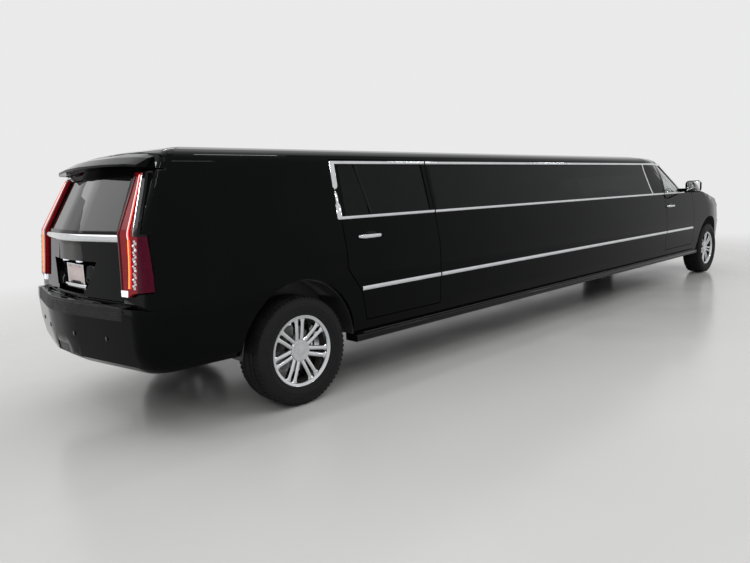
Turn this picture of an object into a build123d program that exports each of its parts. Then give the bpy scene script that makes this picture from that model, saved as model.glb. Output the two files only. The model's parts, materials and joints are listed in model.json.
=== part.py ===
"""Stretch limousine on a long sport-utility body, at real size in millimetres.

The front faces -Y, +X is the vehicle's left side and +Z is up. The origin is on the ground,
at the middle of the length and width. The body skin is lofted from a few plan outlines, one per
height, and every panel, door, pane and lamp is cut from that one skin, so that they stay flush.
Pieces are drawn on the left half and mirrored. Outlines in a side view are (y, z) points, and
those in a front or rear view are (x, z) points that start past the middle.
"""

import os

from build123d import *

# Overall sizes
base_wheelbase = 3302.0
stretch = 5080.0
front_overhang = 1003.0
rear_overhang = 1330.0
half_width = 1022.0
track = 1744.0
roof_height = 1890.0

wheelbase = base_wheelbase + stretch
overall_length = front_overhang + wheelbase + rear_overhang
nose_y = -overall_length / 2
tail_y = overall_length / 2
front_axle_y = nose_y + front_overhang
rear_axle_y = front_axle_y + wheelbase

# Cutters run past the body by this much
clear = 100.0
reach = 1400.0
past_middle = -50.0
nose_end = nose_y - clear
tail_end = tail_y + clear

# Wheels and tyres
tyre_radius = 405.0
tyre_width = 275.0
tread_width = 208.0
widest_radius = 348.0
rim_radius = 262.0
rim_width = 228.0
bead_radius = 246.0
rim_lip = 8.0
barrel_thickness = 10.0
hub_bore_radius = 39.0
hub_pad_radius = 88.0
wheel_face = 96.0
spoke_depth = 44.0
spoke_pairs = 7
lug_count = 6
lug_hole_radius = 7.5
lug_circle_radius = 69.85
cap_radius = 76.0
wheel_x = track / 2
hub_face_x = wheel_x + 38
spindle_end_x = wheel_x + 74

# Wall thicknesses, measured inwards from the skin: below the belt, above the belt
door_skin = (24.0, 18.0)
body_skin = (32.0, 24.0)
body_wall = (88.0, 50.0)
door_inside = 720.0
hood_thickness = 28.0
glass_depth = 7.0
glass_thickness = 6.0
partition_thickness = 50.0

# Heights of the main lines
sill_bottom = 430.0
door_bottom = 535.0
belt = 1335.0
window_bottom = 1352.0
window_top = 1752.0
cant_rail = 1792.0
door_top = cant_rail - 12
bumper_bottom = 465.0
bumper_top = 905.0
front_bumper_top = 690.0
gate_bottom = 915.0
gate_top = 1726.0
screen_bottom = 1366.0
screen_top = 1748.0
floor_top = 600.0
floor_thickness = 40.0
floor_bottom = floor_top - floor_thickness
load_floor = 890.0

# Gaps: a press fit between pieces, the shut lines, and the stepped rebate behind them
fit = 0.3
shut_gap = 8.0
lip = 22.0
lip_gap = 14.0
rebate = lip_gap - lip

# Wheel arches
arch_radius = 505.0
arch_height = 425.0
arch_inside = 600.0
liner_thickness = 8.0

# Shut lines, from the axle that they belong to
front_door_front = front_axle_y + 722
front_door_rear = front_axle_y + 1782
rear_door_front = rear_axle_y - 1530
rear_door_rear = rear_axle_y - 450
cowl_y = front_axle_y + 430
screen_base_y = front_axle_y + 470
hood_hinge = (cowl_y + 12, 1338.0)
roof_rear = rear_axle_y + 860
headlamp_rear_y = nose_y + 420
gate_front_y = rear_axle_y + 800
front_bumper_rear = front_axle_y - 300
fender_rear = front_door_front - shut_gap
firewall_y = front_axle_y + 510
kick_up_y = rear_axle_y - 560
partition_y = front_door_rear + 140
header_rear = front_axle_y + 1500

# How the plan outline's corners stand in from the width, nose and tail: inset, bow, radius, run
nose_corner = (117.0, 230.0, 230.0, 853.0)
screen_corner = (150.0, 190.0, 140.0, 700.0)
tail_corner = (20.0, 125.0, 85.0, 1042.0)
bumper_corner = (25.0, 165.0, 150.0, 1042.0)
nose_flat_share = 0.3
tail_flat_share = 0.15

# Lower body, columns: height, half width, setback of the nose, setback of the tail
lower_levels = (
    (300, 930, 190, 225),
    (430, 975, 110, 145),
    (560, 1006, 20, 100),
    (820, 1022, 0, 95),
    (905, 1022, 8, 95),
    (1090, 1016, 40, 112),
    (belt, 965, 190, 130),
    (1400, 940, 240, 150),
)

# Rear bumper, in the same columns
bumper_levels = (
    (bumper_bottom, 950, 110, 110),
    (520, 990, 60, 30),
    (650, 1007, 20, 10),
    (820, 1023, 0, 0),
    (885, 1023, 5, 5),
    (bumper_top, 1023, 8, 15),
)

# Cabin above the belt, columns: height, half width, windscreen behind the front axle, setback of the tail
upper_levels = (
    (belt, 965, 470, 130),
    (1762, 852, 1240, 347),
    (1815, 822, 1340, 381),
    (1848, 775, 1450, 429),
    (1870, 690, 1640, 539),
    (1884, 540, 2000, 799),
    (roof_height, 300, 2500, 1096),
)

# Hood surface, columns: distance behind the front axle, height at the middle, height at the edge
hood_stations = (
    (-1120, 1010, 955),
    (-900, 1130, 1085),
    (-548, 1215, 1168),
    (137, 1325, 1292),
    (620, 1366, 1335),
)
hood_half_width = 790.0

# Doors and side windows, as side views
front_door_outline = (
    (front_door_front, door_bottom),
    (front_door_rear, door_bottom),
    (front_door_rear, door_top),
    (front_axle_y + 1420, door_top),
    (front_door_front + 20, belt),
    (front_door_front, belt - 40),
)
rear_door_outline = (
    (rear_door_front, door_bottom),
    (rear_axle_y - 640, door_bottom),
    (rear_axle_y - 590, 760),
    (rear_door_rear, 960),
    (rear_door_rear, door_top),
    (rear_door_front, door_top),
)
front_window_outline = (
    (front_axle_y + 1060, window_bottom),
    (front_door_rear - 70, window_bottom),
    (front_door_rear - 70, window_top),
    (front_axle_y + 1480, window_top),
    (front_axle_y + 1060, 1460),
)
rear_window_outline = (
    (rear_door_front + 45, window_bottom),
    (rear_door_rear - 45, window_bottom),
    (rear_door_rear - 75, window_top),
    (rear_door_front + 45, window_top),
)
side_window_front = front_door_rear + 380
side_window_rear = rear_door_front - 45
side_window_outline = (
    (side_window_front, window_bottom),
    (side_window_rear, window_bottom),
    (side_window_rear, window_top),
    (side_window_front + 110, window_top),
)

# Windscreen, front lamps and grille, as front views
screen_outline = ((past_middle, screen_bottom), (770, screen_bottom), (655, screen_top), (past_middle, screen_top))
headlamp_outline = ((560, 790), (560, 1040), (620, 1052), (1100, 1052), (1100, 900), (800, 790))
grille_outline = (
    (past_middle, front_bumper_top - fit),
    (500, front_bumper_top - fit),
    (548, 780),
    (548, 1050),
    (past_middle, 1050),
)
grille_opening = ((past_middle, 735), (480, 735), (515, 795), (515, 1020), (past_middle, 1020))
grille_bar_count = 5
grille_bar_pitch = 55.0
grille_bar_height = 18.0
lower_intake = ((past_middle, 400), (380, 400), (420, 440), (420, 540), (past_middle, 540))
fog_lamp_opening = ((560, 450), (760, 450), (760, 560), (600, 560))

# Tailgate, its window and recesses, and the tail lamps, as rear views
gate_outline = (
    (past_middle, gate_bottom),
    (715, gate_bottom),
    (711, 1001),
    (677, 1302),
    (603, gate_top),
    (past_middle, gate_top),
)
gate_top_outline = ((past_middle, gate_top), (900, gate_top), (900, 2000), (past_middle, 2000))
gate_glass_outline = ((past_middle, 1348), (636, 1348), (554, 1690), (past_middle, 1690))
plate_recess = ((past_middle, 962), (275, 962), (400, 1148), (past_middle, 1148))
plate_recess_depth = 50.0
pull_recess = ((past_middle, 930), (245, 930), (235, 970), (past_middle, 970))
pull_recess_depth = 62.0
lamp_outline = (
    (724, 950),
    (719, 1001),
    (685, 1302),
    (611, 1706),
    (723, 1706),
    (778, 1600),
    (862, 1400),
    (895, belt),
    (1100, belt - 15),
    (1100, 1003),
    (845, 975),
    (800, 950),
)
lamp_proud = 18.0
lamp_side_outline = (
    (rear_axle_y + 1075, 900),
    (rear_axle_y + 1066, belt + 4),
    (rear_axle_y + 880, belt + 44),
    (rear_axle_y + 800, 1720),
    (tail_end, 1720),
    (tail_end, 900),
)

# Rear bumper: side view, step on top, cover over the hitch as a rear view
rear_bumper_outline = (
    (rear_axle_y + 300, bumper_bottom),
    (rear_axle_y + 300, 812),
    (rear_axle_y + 1180, 882),
    (rear_axle_y + 1230, bumper_top),
    (tail_end, bumper_top),
    (tail_end, bumper_bottom),
)
step_depth = 230.0
step_half_width = 800.0
step_thickness = 40.0
hitch_cover = ((past_middle, 400), (105, 400), (105, 590), (past_middle, 590))
hitch_cover_depth = 12.0

# Spoiler: a section as (y, z) points, and where it repeats: distance from the middle, shift, drop
spoiler_section = (
    (rear_axle_y + 840, 1790),
    (rear_axle_y + 960, 1752),
    (rear_axle_y + 1080, 1760),
    (rear_axle_y + 1086, 1774),
    (rear_axle_y + 1000, 1818),
    (rear_axle_y + 900, 1846),
    (rear_axle_y + 840, 1854),
)
spoiler_stations = (
    (0, 0, 0),
    (330, -20, -3),
    (600, -60, -12),
    (712, -92, -24),
)

# Ladder frame: rail outline as a side view
rail_inside, rail_outside = 400.0, 490.0
rail_bottom = 400.0
rail_outline = (
    (nose_y + 300, 430),
    (front_axle_y + 500, 430),
    (front_axle_y + 620, rail_bottom),
    (rear_axle_y - 600, rail_bottom),
    (rear_axle_y - 400, 560),
    (rear_axle_y + 420, 560),
    (rear_axle_y + 640, 500),
    (tail_y - 180, 500),
    (tail_y - 180, 610),
    (rear_axle_y + 700, 610),
    (rear_axle_y + 480, 690),
    (rear_axle_y - 430, 690),
    (kick_up_y + 4, floor_bottom),
    (nose_y + 300, floor_bottom),
)
crossmember_places = (1000, 2300, 3600, 4900, 6200, 7300)
crossmember_size = (70.0, 30.0)
body_mount_places = (-430, 620)
receiver_outside, receiver_inside = 76.0, 51.2
receiver_height = 490.0
receiver_length = 140.0

# Axles, steering and springs
axle_tube_radius = 46.0
hub_radius = 70.0
spring_radius = 42.0
differential_radius = 150.0
differential_half_width = 90.0
pinion_radius = 62.0
pinion_length = 260.0
kingpin_x = wheel_x - 60
upright_radius = 30.0
strut_radius = 50.0
strut_x = 600.0
steering_rack_radius = 26.0

# Front suspension arms, columns: bottom height, thickness
arm_levels = (
    (318, 36),
    (512, 24),
)
arm_outline = (
    (rail_outside, front_axle_y - 170),
    (kingpin_x, front_axle_y - 34),
    (kingpin_x, front_axle_y + 34),
    (rail_outside, front_axle_y + 170),
    (rail_outside, front_axle_y + 90),
    (620, front_axle_y),
    (rail_outside, front_axle_y - 90),
)

# Drive line, exhaust and fuel
shaft_radius = 38.0
shaft_height = tyre_radius + 70
shaft_front = front_axle_y + 1450
centre_bearing_places = (3605, 6205)
centre_bearing_radius = 60.0
exhaust_x = -310.0
exhaust_height = 512.0
exhaust_radius = 34.0
silencer_half_width = 70.0
silencer_corner = 40.0
tank_corner = 30.0

# Cabin: section of the dashboard, and of a front seat from its front edge on the floor
dashboard_half_width = 780.0
dashboard_outline = (
    (firewall_y + 40, 900),
    (firewall_y + 330, 860),
    (firewall_y + 430, 960),
    (firewall_y + 400, 1150),
    (firewall_y + 40, 1262),
)
driver_x = 430.0
seat_half_width = 260.0
seat_front = front_axle_y + 1180
seat_outline = (
    (seat_front, floor_top),
    (seat_front + 560, floor_top),
    (seat_front + 710, floor_top + 790),
    (seat_front + 590, floor_top + 790),
    (seat_front + 430, floor_top + 310),
    (seat_front, floor_top + 340),
)
bench_seat_top, bench_back_top = 1000.0, 1420.0
bench_front, bench_rear = front_door_rear + 200, kick_up_y - floor_thickness - fit
steering_wheel_radius = 185.0
steering_grip_radius = 15.0
steering_centre = (driver_x, firewall_y + 560, 1130)
steering_tilt = (0, 0.9, 0.42)

# Door mirror: columns: distance behind the front axle, middle in x, width, height, corner radius
mirror_stations = (
    (945, 1110, 150, 110, 40),
    (1085, 1120, 230, 172, 52),
)
mirror_height = 1424.0


def outline_at(width, nose, tail, front_shape, rear_shape=tail_corner):
    """Half plan outline at one height, nose to tail on the left side, corners scaled with the width."""
    share = width / half_width
    inset, bow, radius, run = front_shape
    tail_inset, tail_bow, tail_radius, tail_run = rear_shape
    nose_flat, tail_flat = nose_flat_share * width, tail_flat_share * width
    points = (
        (0, nose),
        (nose_flat, nose),
        (width - inset * share, nose + bow * share),
        (width, nose + run),
        (width, tail - tail_run),
        (width - tail_inset * share, tail - tail_bow * share),
        (tail_flat, tail),
        (0, tail),
    )
    radii = (1300 * share, radius * share, 2400 * share, 3600 * share, tail_radius * share, 1300 * share)
    with BuildLine() as line:
        FilletPolyline(*points, radius=radii)
        Line((0, tail), (0, nose))
    return line.line


def lower_body(depth, levels=lower_levels, rear_shape=tail_corner):
    """Solid left half of the body below the belt, with its skin moved in by depth."""
    with BuildPart() as half:
        for height, width, nose_back, tail_back in levels:
            nose, tail = nose_y + nose_back + depth, tail_y - tail_back - depth
            with BuildSketch(Plane.XY.offset(height)):
                add(outline_at(width - depth, nose, tail, nose_corner, rear_shape))
                make_face()
        loft(ruled=True)
    return half.part


def upper_body(depth):
    """Solid left half of the cabin above the belt, with its skin moved in by depth."""
    with BuildPart() as half:
        for height, width, screen_back, tail_back in upper_levels:
            nose, tail = front_axle_y + screen_back + depth, tail_y - tail_back - depth
            crown = depth if height > window_top else 0
            with BuildSketch(Plane.XY.offset(height - crown)):
                add(outline_at(width - depth, nose, tail, screen_corner))
                make_face()
        loft(ruled=True)
    return half.part


def hood_form(drop):
    """Everything under the hood's crowned surface, lowered by drop, with full height behind the cowl."""
    with BuildPart() as form:
        for back, middle, edge in hood_stations:
            with BuildSketch(Plane.XZ.offset(-(front_axle_y + back))):
                with BuildLine():
                    Polyline((0, middle - drop), (0, 0), (reach, 0), (reach, edge - drop))
                    ThreePointArc(
                        (reach, edge - drop), (reach / 2, middle - drop - (middle - edge) / 4), (0, middle - drop)
                    )
                make_face()
        loft()
        with BuildSketch(Plane.XY):
            with Locations((reach / 2, screen_base_y + 1.2 * drop + overall_length / 2)):
                Rectangle(reach, overall_length)
        extrude(amount=belt)
    return form.part


def hull(low, up):
    """Left half of the whole body with its skin moved in by low under the belt and by up above it."""
    with BuildPart() as half:
        add(lower_body(low))
        add(hood_form(0.8 * low), mode=Mode.INTERSECT)
        add(upper_body(up))
    return half.part


def layer(outside, inside):
    """What lies between two nested bodies."""
    with BuildPart() as between:
        add(outside)
        add(inside, mode=Mode.SUBTRACT)
    return between.part


def side_view(points, grow=0.0, start=0.0, end=reach, mode=Mode.SUBTRACT):
    """Carries a side-view outline, grown by a distance, from start to end across the left half."""
    with BuildSketch(Plane.YZ.offset(start)) as outline:
        with BuildLine():
            Polyline(*points, close=True)
        make_face()
        if grow:
            offset(amount=grow, kind=Kind.INTERSECTION)
    extrude(outline.sketch, amount=end - start, mode=mode)


def end_view(points, grow=0.0, start=nose_end, end=tail_end, mode=Mode.SUBTRACT):
    """Carries a front- or rear-view outline, grown by a distance, from start to end along the body."""
    with BuildSketch(Plane.XZ.offset(-start)) as outline:
        with BuildLine():
            Polyline(*points, close=True)
        make_face()
        if grow:
            offset(amount=grow, kind=Kind.INTERSECTION)
    extrude(outline.sketch, amount=start - end, mode=mode)


def corner_box(low, high, mode=Mode.ADD):
    """A box between two corners."""
    size = [far - near for near, far in zip(low, high)]
    middle = tuple((far + near) / 2 for near, far in zip(low, high))
    with Locations(middle):
        Box(*size, mode=mode)


def keep_above(height):
    """Keeps only what lies above a height."""
    corner_box((past_middle, nose_end, height), (reach, tail_end, 2 * roof_height), Mode.INTERSECT)


def rod(radius, start, end, mode=Mode.ADD):
    """A round bar between two points."""
    axis = Vector(*end) - Vector(*start)
    with Locations(Plane(origin=start, z_dir=axis)):
        Cylinder(radius, axis.length, align=(Align.CENTER, Align.CENTER, Align.MIN), mode=mode)


def arch(axle_y, radius, start, end, mode=Mode.SUBTRACT):
    """The round of a wheel arch, straight below its centre, from start to end across the left half."""
    with BuildSketch(Plane.YZ.offset(start)) as outline:
        with Locations((axle_y, arch_height)):
            Circle(radius)
        with Locations((axle_y, arch_height / 2)):
            Rectangle(2 * radius, arch_height)
    extrude(outline.sketch, amount=end - start, mode=mode)


def recess(points, skin_body, depth):
    """The room cut into the tail inside a rear-view outline, down to a depth behind the skin."""
    with BuildPart() as room:
        end_view(points, 0, gate_front_y, tail_end, mode=Mode.ADD)
        with Locations((0, -depth, 0)):
            add(skin_body, mode=Mode.SUBTRACT)
    return room.part


def save(part, name):
    """Labels a finished piece and writes its STEP file."""
    part.label = name
    export_step(part, f"parts/{name}.step")


def save_pair(left, name):
    """Writes a piece of the left side and its mirror image."""
    save(left, f"{name}_left")
    with BuildPart() as right:
        add(mirror(left, about=Plane.YZ, mode=Mode.PRIVATE))
    save(right.part, f"{name}_right")


os.makedirs("parts", exist_ok=True)

# Nested bodies: skin, back of the door skins, back of the body skins, inside of the walls, room inside
outer = hull(0, 0)
door_back = hull(*door_skin)
skin_back = hull(*body_skin)
inner = hull(*body_wall)
cabin = hull(body_wall[0] + fit, body_wall[1] + fit)
skin = layer(outer, skin_back)
wall = layer(skin_back, inner)
shell = layer(outer, inner)
door_layer = layer(outer, door_back)
door_box = layer(door_back, inner)
pane = layer(upper_body(glass_depth), upper_body(glass_depth + glass_thickness))


def door(outline, window):
    """A door on the left: an outer skin with a box behind it that is smaller all round, and its window."""
    with BuildPart() as box:
        add(door_box)
        side_view(outline, -lip, door_inside, mode=Mode.INTERSECT)
        keep_above(floor_top + lip_gap)
    with BuildPart() as panel:
        add(door_layer)
        side_view(outline, 0, door_inside, mode=Mode.INTERSECT)
        add(box.part)
        side_view(window)
    return panel.part


def side_pane(window):
    """The pane of a window on the left, let into its frame."""
    with BuildPart() as glass:
        add(pane)
        side_view(window, -fit, arch_inside, mode=Mode.INTERSECT)
    return glass.part


def lamp_form(grow):
    """The block that a left tail lamp is cut from."""
    with BuildPart() as form:
        end_view(lamp_outline, grow, rear_axle_y, tail_end, mode=Mode.ADD)
        side_view(lamp_side_outline, grow, mode=Mode.INTERSECT)
    return form.part


# Body side: sill, pillars, stretched wall and quarter panel, with both door openings
with BuildPart() as side_area:
    corner_box((0, fender_rear, sill_bottom), (reach, tail_end, cant_rail))
    corner_box((700, front_axle_y + 480, belt), (reach, tail_end, cant_rail))

with BuildPart() as side_face:
    add(skin)
    add(side_area.part, mode=Mode.INTERSECT)
    side_view(front_door_outline, shut_gap)
    side_view(rear_door_outline, shut_gap)
    add(lamp_form(fit), mode=Mode.SUBTRACT)
    end_view(gate_outline, shut_gap, gate_front_y)
    end_view(gate_top_outline, shut_gap, roof_rear)

with BuildPart() as door_room:
    side_view(front_door_outline, rebate, mode=Mode.ADD)
    side_view(rear_door_outline, rebate, mode=Mode.ADD)
    keep_above(floor_top)

with BuildPart() as side_wall:
    add(wall)
    add(side_area.part, mode=Mode.INTERSECT)
    add(door_room.part, mode=Mode.SUBTRACT)

with BuildPart() as body_side:
    add(side_face.part)
    add(side_wall.part)
    side_view(side_window_outline)
    end_view(screen_outline, 0, nose_end, front_axle_y + 1700)
    corner_box((past_middle, nose_end, 0), (700 + fit, header_rear, screen_bottom), Mode.SUBTRACT)
    corner_box((past_middle, nose_end, screen_top), (700 + fit, header_rear, 2000), Mode.SUBTRACT)
    arch(rear_axle_y, arch_radius, arch_inside, reach)
    side_view(rear_bumper_outline, fit)
    corner_box((past_middle, rear_axle_y + 300, 0), (reach, tail_end, bumper_bottom), Mode.SUBTRACT)
    end_view(gate_outline, rebate, gate_front_y)
    end_view(gate_top_outline, rebate, roof_rear - rebate)
    corner_box((past_middle, roof_rear - rebate, gate_top - 60), (590, tail_end, gate_top + 60), Mode.SUBTRACT)
    add(body_side.part.solids().sort_by(SortBy.VOLUME)[-1], mode=Mode.REPLACE)
save_pair(body_side.part, "body_side")

# Roof, from the windscreen header to the tailgate seam
with BuildPart() as roof_area:
    corner_box((past_middle, nose_end, cant_rail), (reach, roof_rear - shut_gap, 2000))
    corner_box((past_middle, nose_end, screen_top + fit), (700, header_rear, cant_rail))

with BuildPart() as roof_panel:
    add(shell)
    add(roof_area.part, mode=Mode.INTERSECT)
    mirror(about=Plane.YZ)
save(roof_panel.part, "roof_panel")

# Front wing, with the strip beside the hood and the skirt behind the wheel
with BuildPart() as hood_room:
    corner_box((past_middle, nose_end, 0), (hood_half_width + shut_gap, cowl_y + shut_gap, 2000))
    add(hood_form(-60), mode=Mode.INTERSECT)

with BuildPart() as fender:
    add(skin)
    corner_box((0, nose_end, sill_bottom), (reach, fender_rear, belt), Mode.INTERSECT)
    corner_box((past_middle, nose_end, 0), (reach, front_bumper_rear, front_bumper_top), Mode.SUBTRACT)
    add(hood_room.part, mode=Mode.SUBTRACT)
    corner_box((past_middle, nose_end, 0), (560, headlamp_rear_y, 2000), Mode.SUBTRACT)
    end_view(headlamp_outline, fit, nose_end, headlamp_rear_y + fit)
    arch(front_axle_y, arch_radius, arch_inside, reach)
    corner_box((past_middle, cowl_y - 40, 0), (hood_half_width + shut_gap, tail_end, 2000), Mode.SUBTRACT)
save_pair(fender.part, "fender")

# Front bumper with its lower intake and fog lamp openings
with BuildPart() as front_bumper:
    add(skin)
    corner_box((past_middle, nose_end, 300), (reach, front_bumper_rear - fit, front_bumper_top), Mode.INTERSECT)
    end_view(lower_intake, 0, nose_end, front_axle_y - 600)
    end_view(fog_lamp_opening, 0, nose_end, front_axle_y - 500)
    arch(front_axle_y, arch_radius, arch_inside, reach)
    mirror(about=Plane.YZ)
save(front_bumper.part, "front_bumper")

# Grille: a frame with level bars and a middle post in front of the radiator
with BuildPart() as grille_bars:
    for level in range(grille_bar_count):
        height = 752 + grille_bar_pitch * level
        corner_box((0, nose_y + 45, height), (515, nose_y + 300, height + grille_bar_height))
    corner_box((0, nose_end, 735), (12, nose_y + 300, 1022))
    add(skin, mode=Mode.INTERSECT)

with BuildPart() as grille:
    add(skin)
    end_view(grille_outline, -fit, nose_end, nose_y + 400, Mode.INTERSECT)
    add(hood_form(hood_thickness + shut_gap), mode=Mode.INTERSECT)
    end_view(grille_opening, 0, nose_end, nose_y + 400)
    add(grille_bars.part)
    mirror(about=Plane.YZ)
save(grille.part, "grille")

# Headlamps, wrapped round the front corners
with BuildPart() as headlamps:
    add(skin)
    end_view(headlamp_outline, 0, nose_end, headlamp_rear_y, Mode.INTERSECT)
    add(hood_form(hood_thickness + shut_gap), mode=Mode.INTERSECT)
    mirror(about=Plane.YZ)
save(headlamps.part, "headlamps")

# Rear bumper, with the step on top, the cover over the hitch and both ends running to the wheel arches
bumper_solid = lower_body(0, bumper_levels, bumper_corner)
with BuildPart() as bumper_step:
    corner_box((0, tail_y - step_depth, bumper_top - step_thickness), (step_half_width, tail_end, bumper_top))
    add(bumper_solid, mode=Mode.INTERSECT)

with BuildPart() as rear_bumper:
    add(bumper_solid)
    add(lower_body(body_skin[0], bumper_levels, bumper_corner), mode=Mode.SUBTRACT)
    add(bumper_step.part)
    side_view(rear_bumper_outline, 0, past_middle, mode=Mode.INTERSECT)
    arch(rear_axle_y, arch_radius, arch_inside, reach)
    add(recess(hitch_cover, bumper_solid, hitch_cover_depth), mode=Mode.SUBTRACT)
    mirror(about=Plane.YZ)
save(rear_bumper.part, "rear_bumper")

# Tail lamps, up the corner pillars, standing a little proud of the skin
with BuildPart() as lamp:
    with Locations((0, lamp_proud, 0)):
        add(outer)
    add(skin_back, mode=Mode.SUBTRACT)
    add(lamp_form(0), mode=Mode.INTERSECT)

with BuildPart() as tail_lamps:
    with Locations((fit, fit, 0)):
        add(lamp.part)
    mirror(about=Plane.YZ)
save(tail_lamps.part, "tail_lamps")

# Tailgate, with the roof's rear edge on top of it, its window, plate recess and pull recess
with BuildPart() as gate_face:
    end_view(gate_outline, 0, gate_front_y, mode=Mode.ADD)
    end_view(gate_top_outline, 0, roof_rear, mode=Mode.ADD)
    add(door_layer, mode=Mode.INTERSECT)

with BuildPart() as gate_box:
    end_view(gate_outline, -lip, gate_front_y, mode=Mode.ADD)
    end_view(gate_top_outline, -lip, roof_rear + lip, mode=Mode.ADD)
    corner_box((past_middle, gate_front_y, gate_bottom + lip), (400, tail_end, 1700))
    corner_box((past_middle, roof_rear + lip, gate_top - 60), (540, tail_end, gate_top + 60))
    add(door_box, mode=Mode.INTERSECT)
    corner_box((0, roof_rear + lip - 160, gate_bottom + lip), (reach, tail_end, 2000), Mode.INTERSECT)

with BuildPart() as tailgate:
    add(gate_face.part)
    add(gate_box.part)
    end_view(gate_glass_outline, 0, gate_front_y)
    add(recess(plate_recess, outer, plate_recess_depth), mode=Mode.SUBTRACT)
    add(recess(pull_recess, outer, pull_recess_depth), mode=Mode.SUBTRACT)
    mirror(about=Plane.YZ)
save(tailgate.part, "tailgate")

with BuildPart() as tailgate_glass:
    add(pane)
    end_view(gate_glass_outline, -fit, gate_front_y, mode=Mode.INTERSECT)
    mirror(about=Plane.YZ)
save(tailgate_glass.part, "tailgate_glass")

# Spoiler over the rear window
with BuildPart() as rear_spoiler:
    for place, shift, drop in spoiler_stations:
        with BuildSketch(Plane.YZ.offset(place)):
            with BuildLine():
                Polyline(*[(y + shift, z + drop) for y, z in spoiler_section], close=True)
            make_face()
    loft(ruled=True)
    add(upper_body(-fit), mode=Mode.SUBTRACT)
    mirror(about=Plane.YZ)
save(rear_spoiler.part, "rear_spoiler")


def hinge_leaf(start, end, back):
    """One half of a hood hinge: a barrel on the hinge axis with a leaf that reaches back from it."""
    y, z = hood_hinge
    barrel_radius = 6
    near, far = sorted((y + back, y))
    rod(barrel_radius, (start, y, z), (end, y, z))
    corner_box((start, near, z - barrel_radius), (end, far, z + barrel_radius))


hinge_inside, hinge_middle, hinge_outside = 560.0, 600.0, 640.0

# Hood: a crowned panel as thick as its stiffened edge
with BuildPart() as hood:
    add(outer)
    add(hood_form(hood_thickness), mode=Mode.SUBTRACT)
    corner_box((past_middle, nose_end, 900), (hood_half_width, cowl_y, belt + 20), Mode.INTERSECT)
    hinge_leaf(hinge_inside, hinge_middle, -30)
    mirror(about=Plane.YZ)
save(hood.part, "hood")

with BuildPart() as windscreen:
    add(pane)
    end_view(screen_outline, -fit, nose_end, front_axle_y + 1700, Mode.INTERSECT)
    mirror(about=Plane.YZ)
save(windscreen.part, "windscreen")

# Cowl under the windscreen, with the firewall below it down to the floor
cowl_rear = front_axle_y + 760
with BuildPart() as cowl_wall:
    add(wall)
    corner_box((past_middle, cowl_y + shut_gap, 1100), (700, cowl_rear, screen_bottom - fit), Mode.INTERSECT)

with BuildPart() as cowl_top:
    add(skin)
    corner_box((past_middle, screen_base_y + 4, belt - 5), (700, cowl_rear, screen_bottom - fit), Mode.INTERSECT)

with BuildPart() as cowl_and_firewall:
    add(cowl_wall.part)
    add(cowl_top.part)
    corner_box(
        (hinge_inside - 10, cowl_y, 1322), (hinge_middle + fit, cowl_y + 30, 1400), Mode.SUBTRACT
    )
    corner_box((0, firewall_y, floor_top), (700, firewall_y + 40, 1310))
    corner_box(
        (hinge_middle + fit, cowl_y + shut_gap + 2, 1300), (hinge_outside, cowl_y + shut_gap + 12, hood_hinge[1])
    )
    hinge_leaf(hinge_middle + fit, hinge_outside, 6)
    mirror(about=Plane.YZ)
save(cowl_and_firewall.part, "cowl_and_firewall")

with BuildPart() as side_glass:
    add(side_pane(side_window_outline))
    mirror(about=Plane.YZ)
save(side_glass.part, "side_glass")

# Floor from the firewall to the step over the rear axle, and the load floor behind it
with BuildPart() as floor_pan:
    corner_box((0, firewall_y, floor_bottom), (reach, kick_up_y, floor_top))
    corner_box((0, kick_up_y - floor_thickness, floor_bottom), (reach, kick_up_y, load_floor))
    corner_box((0, kick_up_y - floor_thickness, load_floor - floor_thickness), (reach, tail_y - 240, load_floor))
    add(cabin, mode=Mode.INTERSECT)
    corner_box(
        (690, rear_axle_y - arch_radius - 12, 0), (reach, rear_axle_y + arch_radius + 12, 2000), Mode.SUBTRACT
    )
    mirror(about=Plane.YZ)
save(floor_pan.part, "floor_pan")


def liner(axle_y, inboard, opening_half_length, opening_top):
    """One wheel-arch liner of the left side, open where the axle or the arms come through."""
    with BuildPart() as tub:
        arch(axle_y, arch_radius - fit, inboard, 980, mode=Mode.ADD)
        arch(axle_y, arch_radius - liner_thickness, inboard + 6, reach)
        keep_above(436)
        add(outer, mode=Mode.INTERSECT)
        corner_box(
            (inboard - 5, axle_y - opening_half_length, 430),
            (inboard + 12, axle_y + opening_half_length, opening_top),
            Mode.SUBTRACT,
        )
    return tub.part


with BuildPart() as wheel_liners:
    add(liner(front_axle_y, 514, 190, 740))
    add(liner(rear_axle_y, 695, 120, 560))
    mirror(about=Plane.YZ)
save(wheel_liners.part, "wheel_liners")

# Ladder frame: two rails that rise over the rear axle, crossmembers, body mounts and the hitch receiver
with BuildPart() as frame_half:
    side_view(rail_outline, 0, rail_inside, rail_outside, Mode.ADD)
    for place in crossmember_places:
        depth, height = crossmember_size
        y = front_axle_y + place
        corner_box((0, y, rail_bottom), (rail_inside + 1, y + depth, rail_bottom + height))
    corner_box((0, front_axle_y - 330, 430), (rail_inside + 1, front_axle_y - 250, 470))
    corner_box((0, nose_y + 240, 440), (rail_outside, nose_y + 300, 550))
    corner_box((0, tail_y - 260, 510), (rail_inside + 1, tail_y - 180, 600))
    for place in body_mount_places:
        y = rear_axle_y + place
        corner_box((420, y, 600), (470, y + 60, load_floor - floor_thickness))

with BuildPart() as chassis_frame:
    add(frame_half.part)
    mirror(about=Plane.YZ)
    with Locations((0, tail_y - 230, receiver_height)):
        Box(receiver_outside, receiver_length, receiver_outside)
    with Locations((0, tail_y - 210, receiver_height)):
        Box(receiver_inside, receiver_length, receiver_inside, mode=Mode.SUBTRACT)
save(chassis_frame.part, "chassis_frame")

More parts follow.
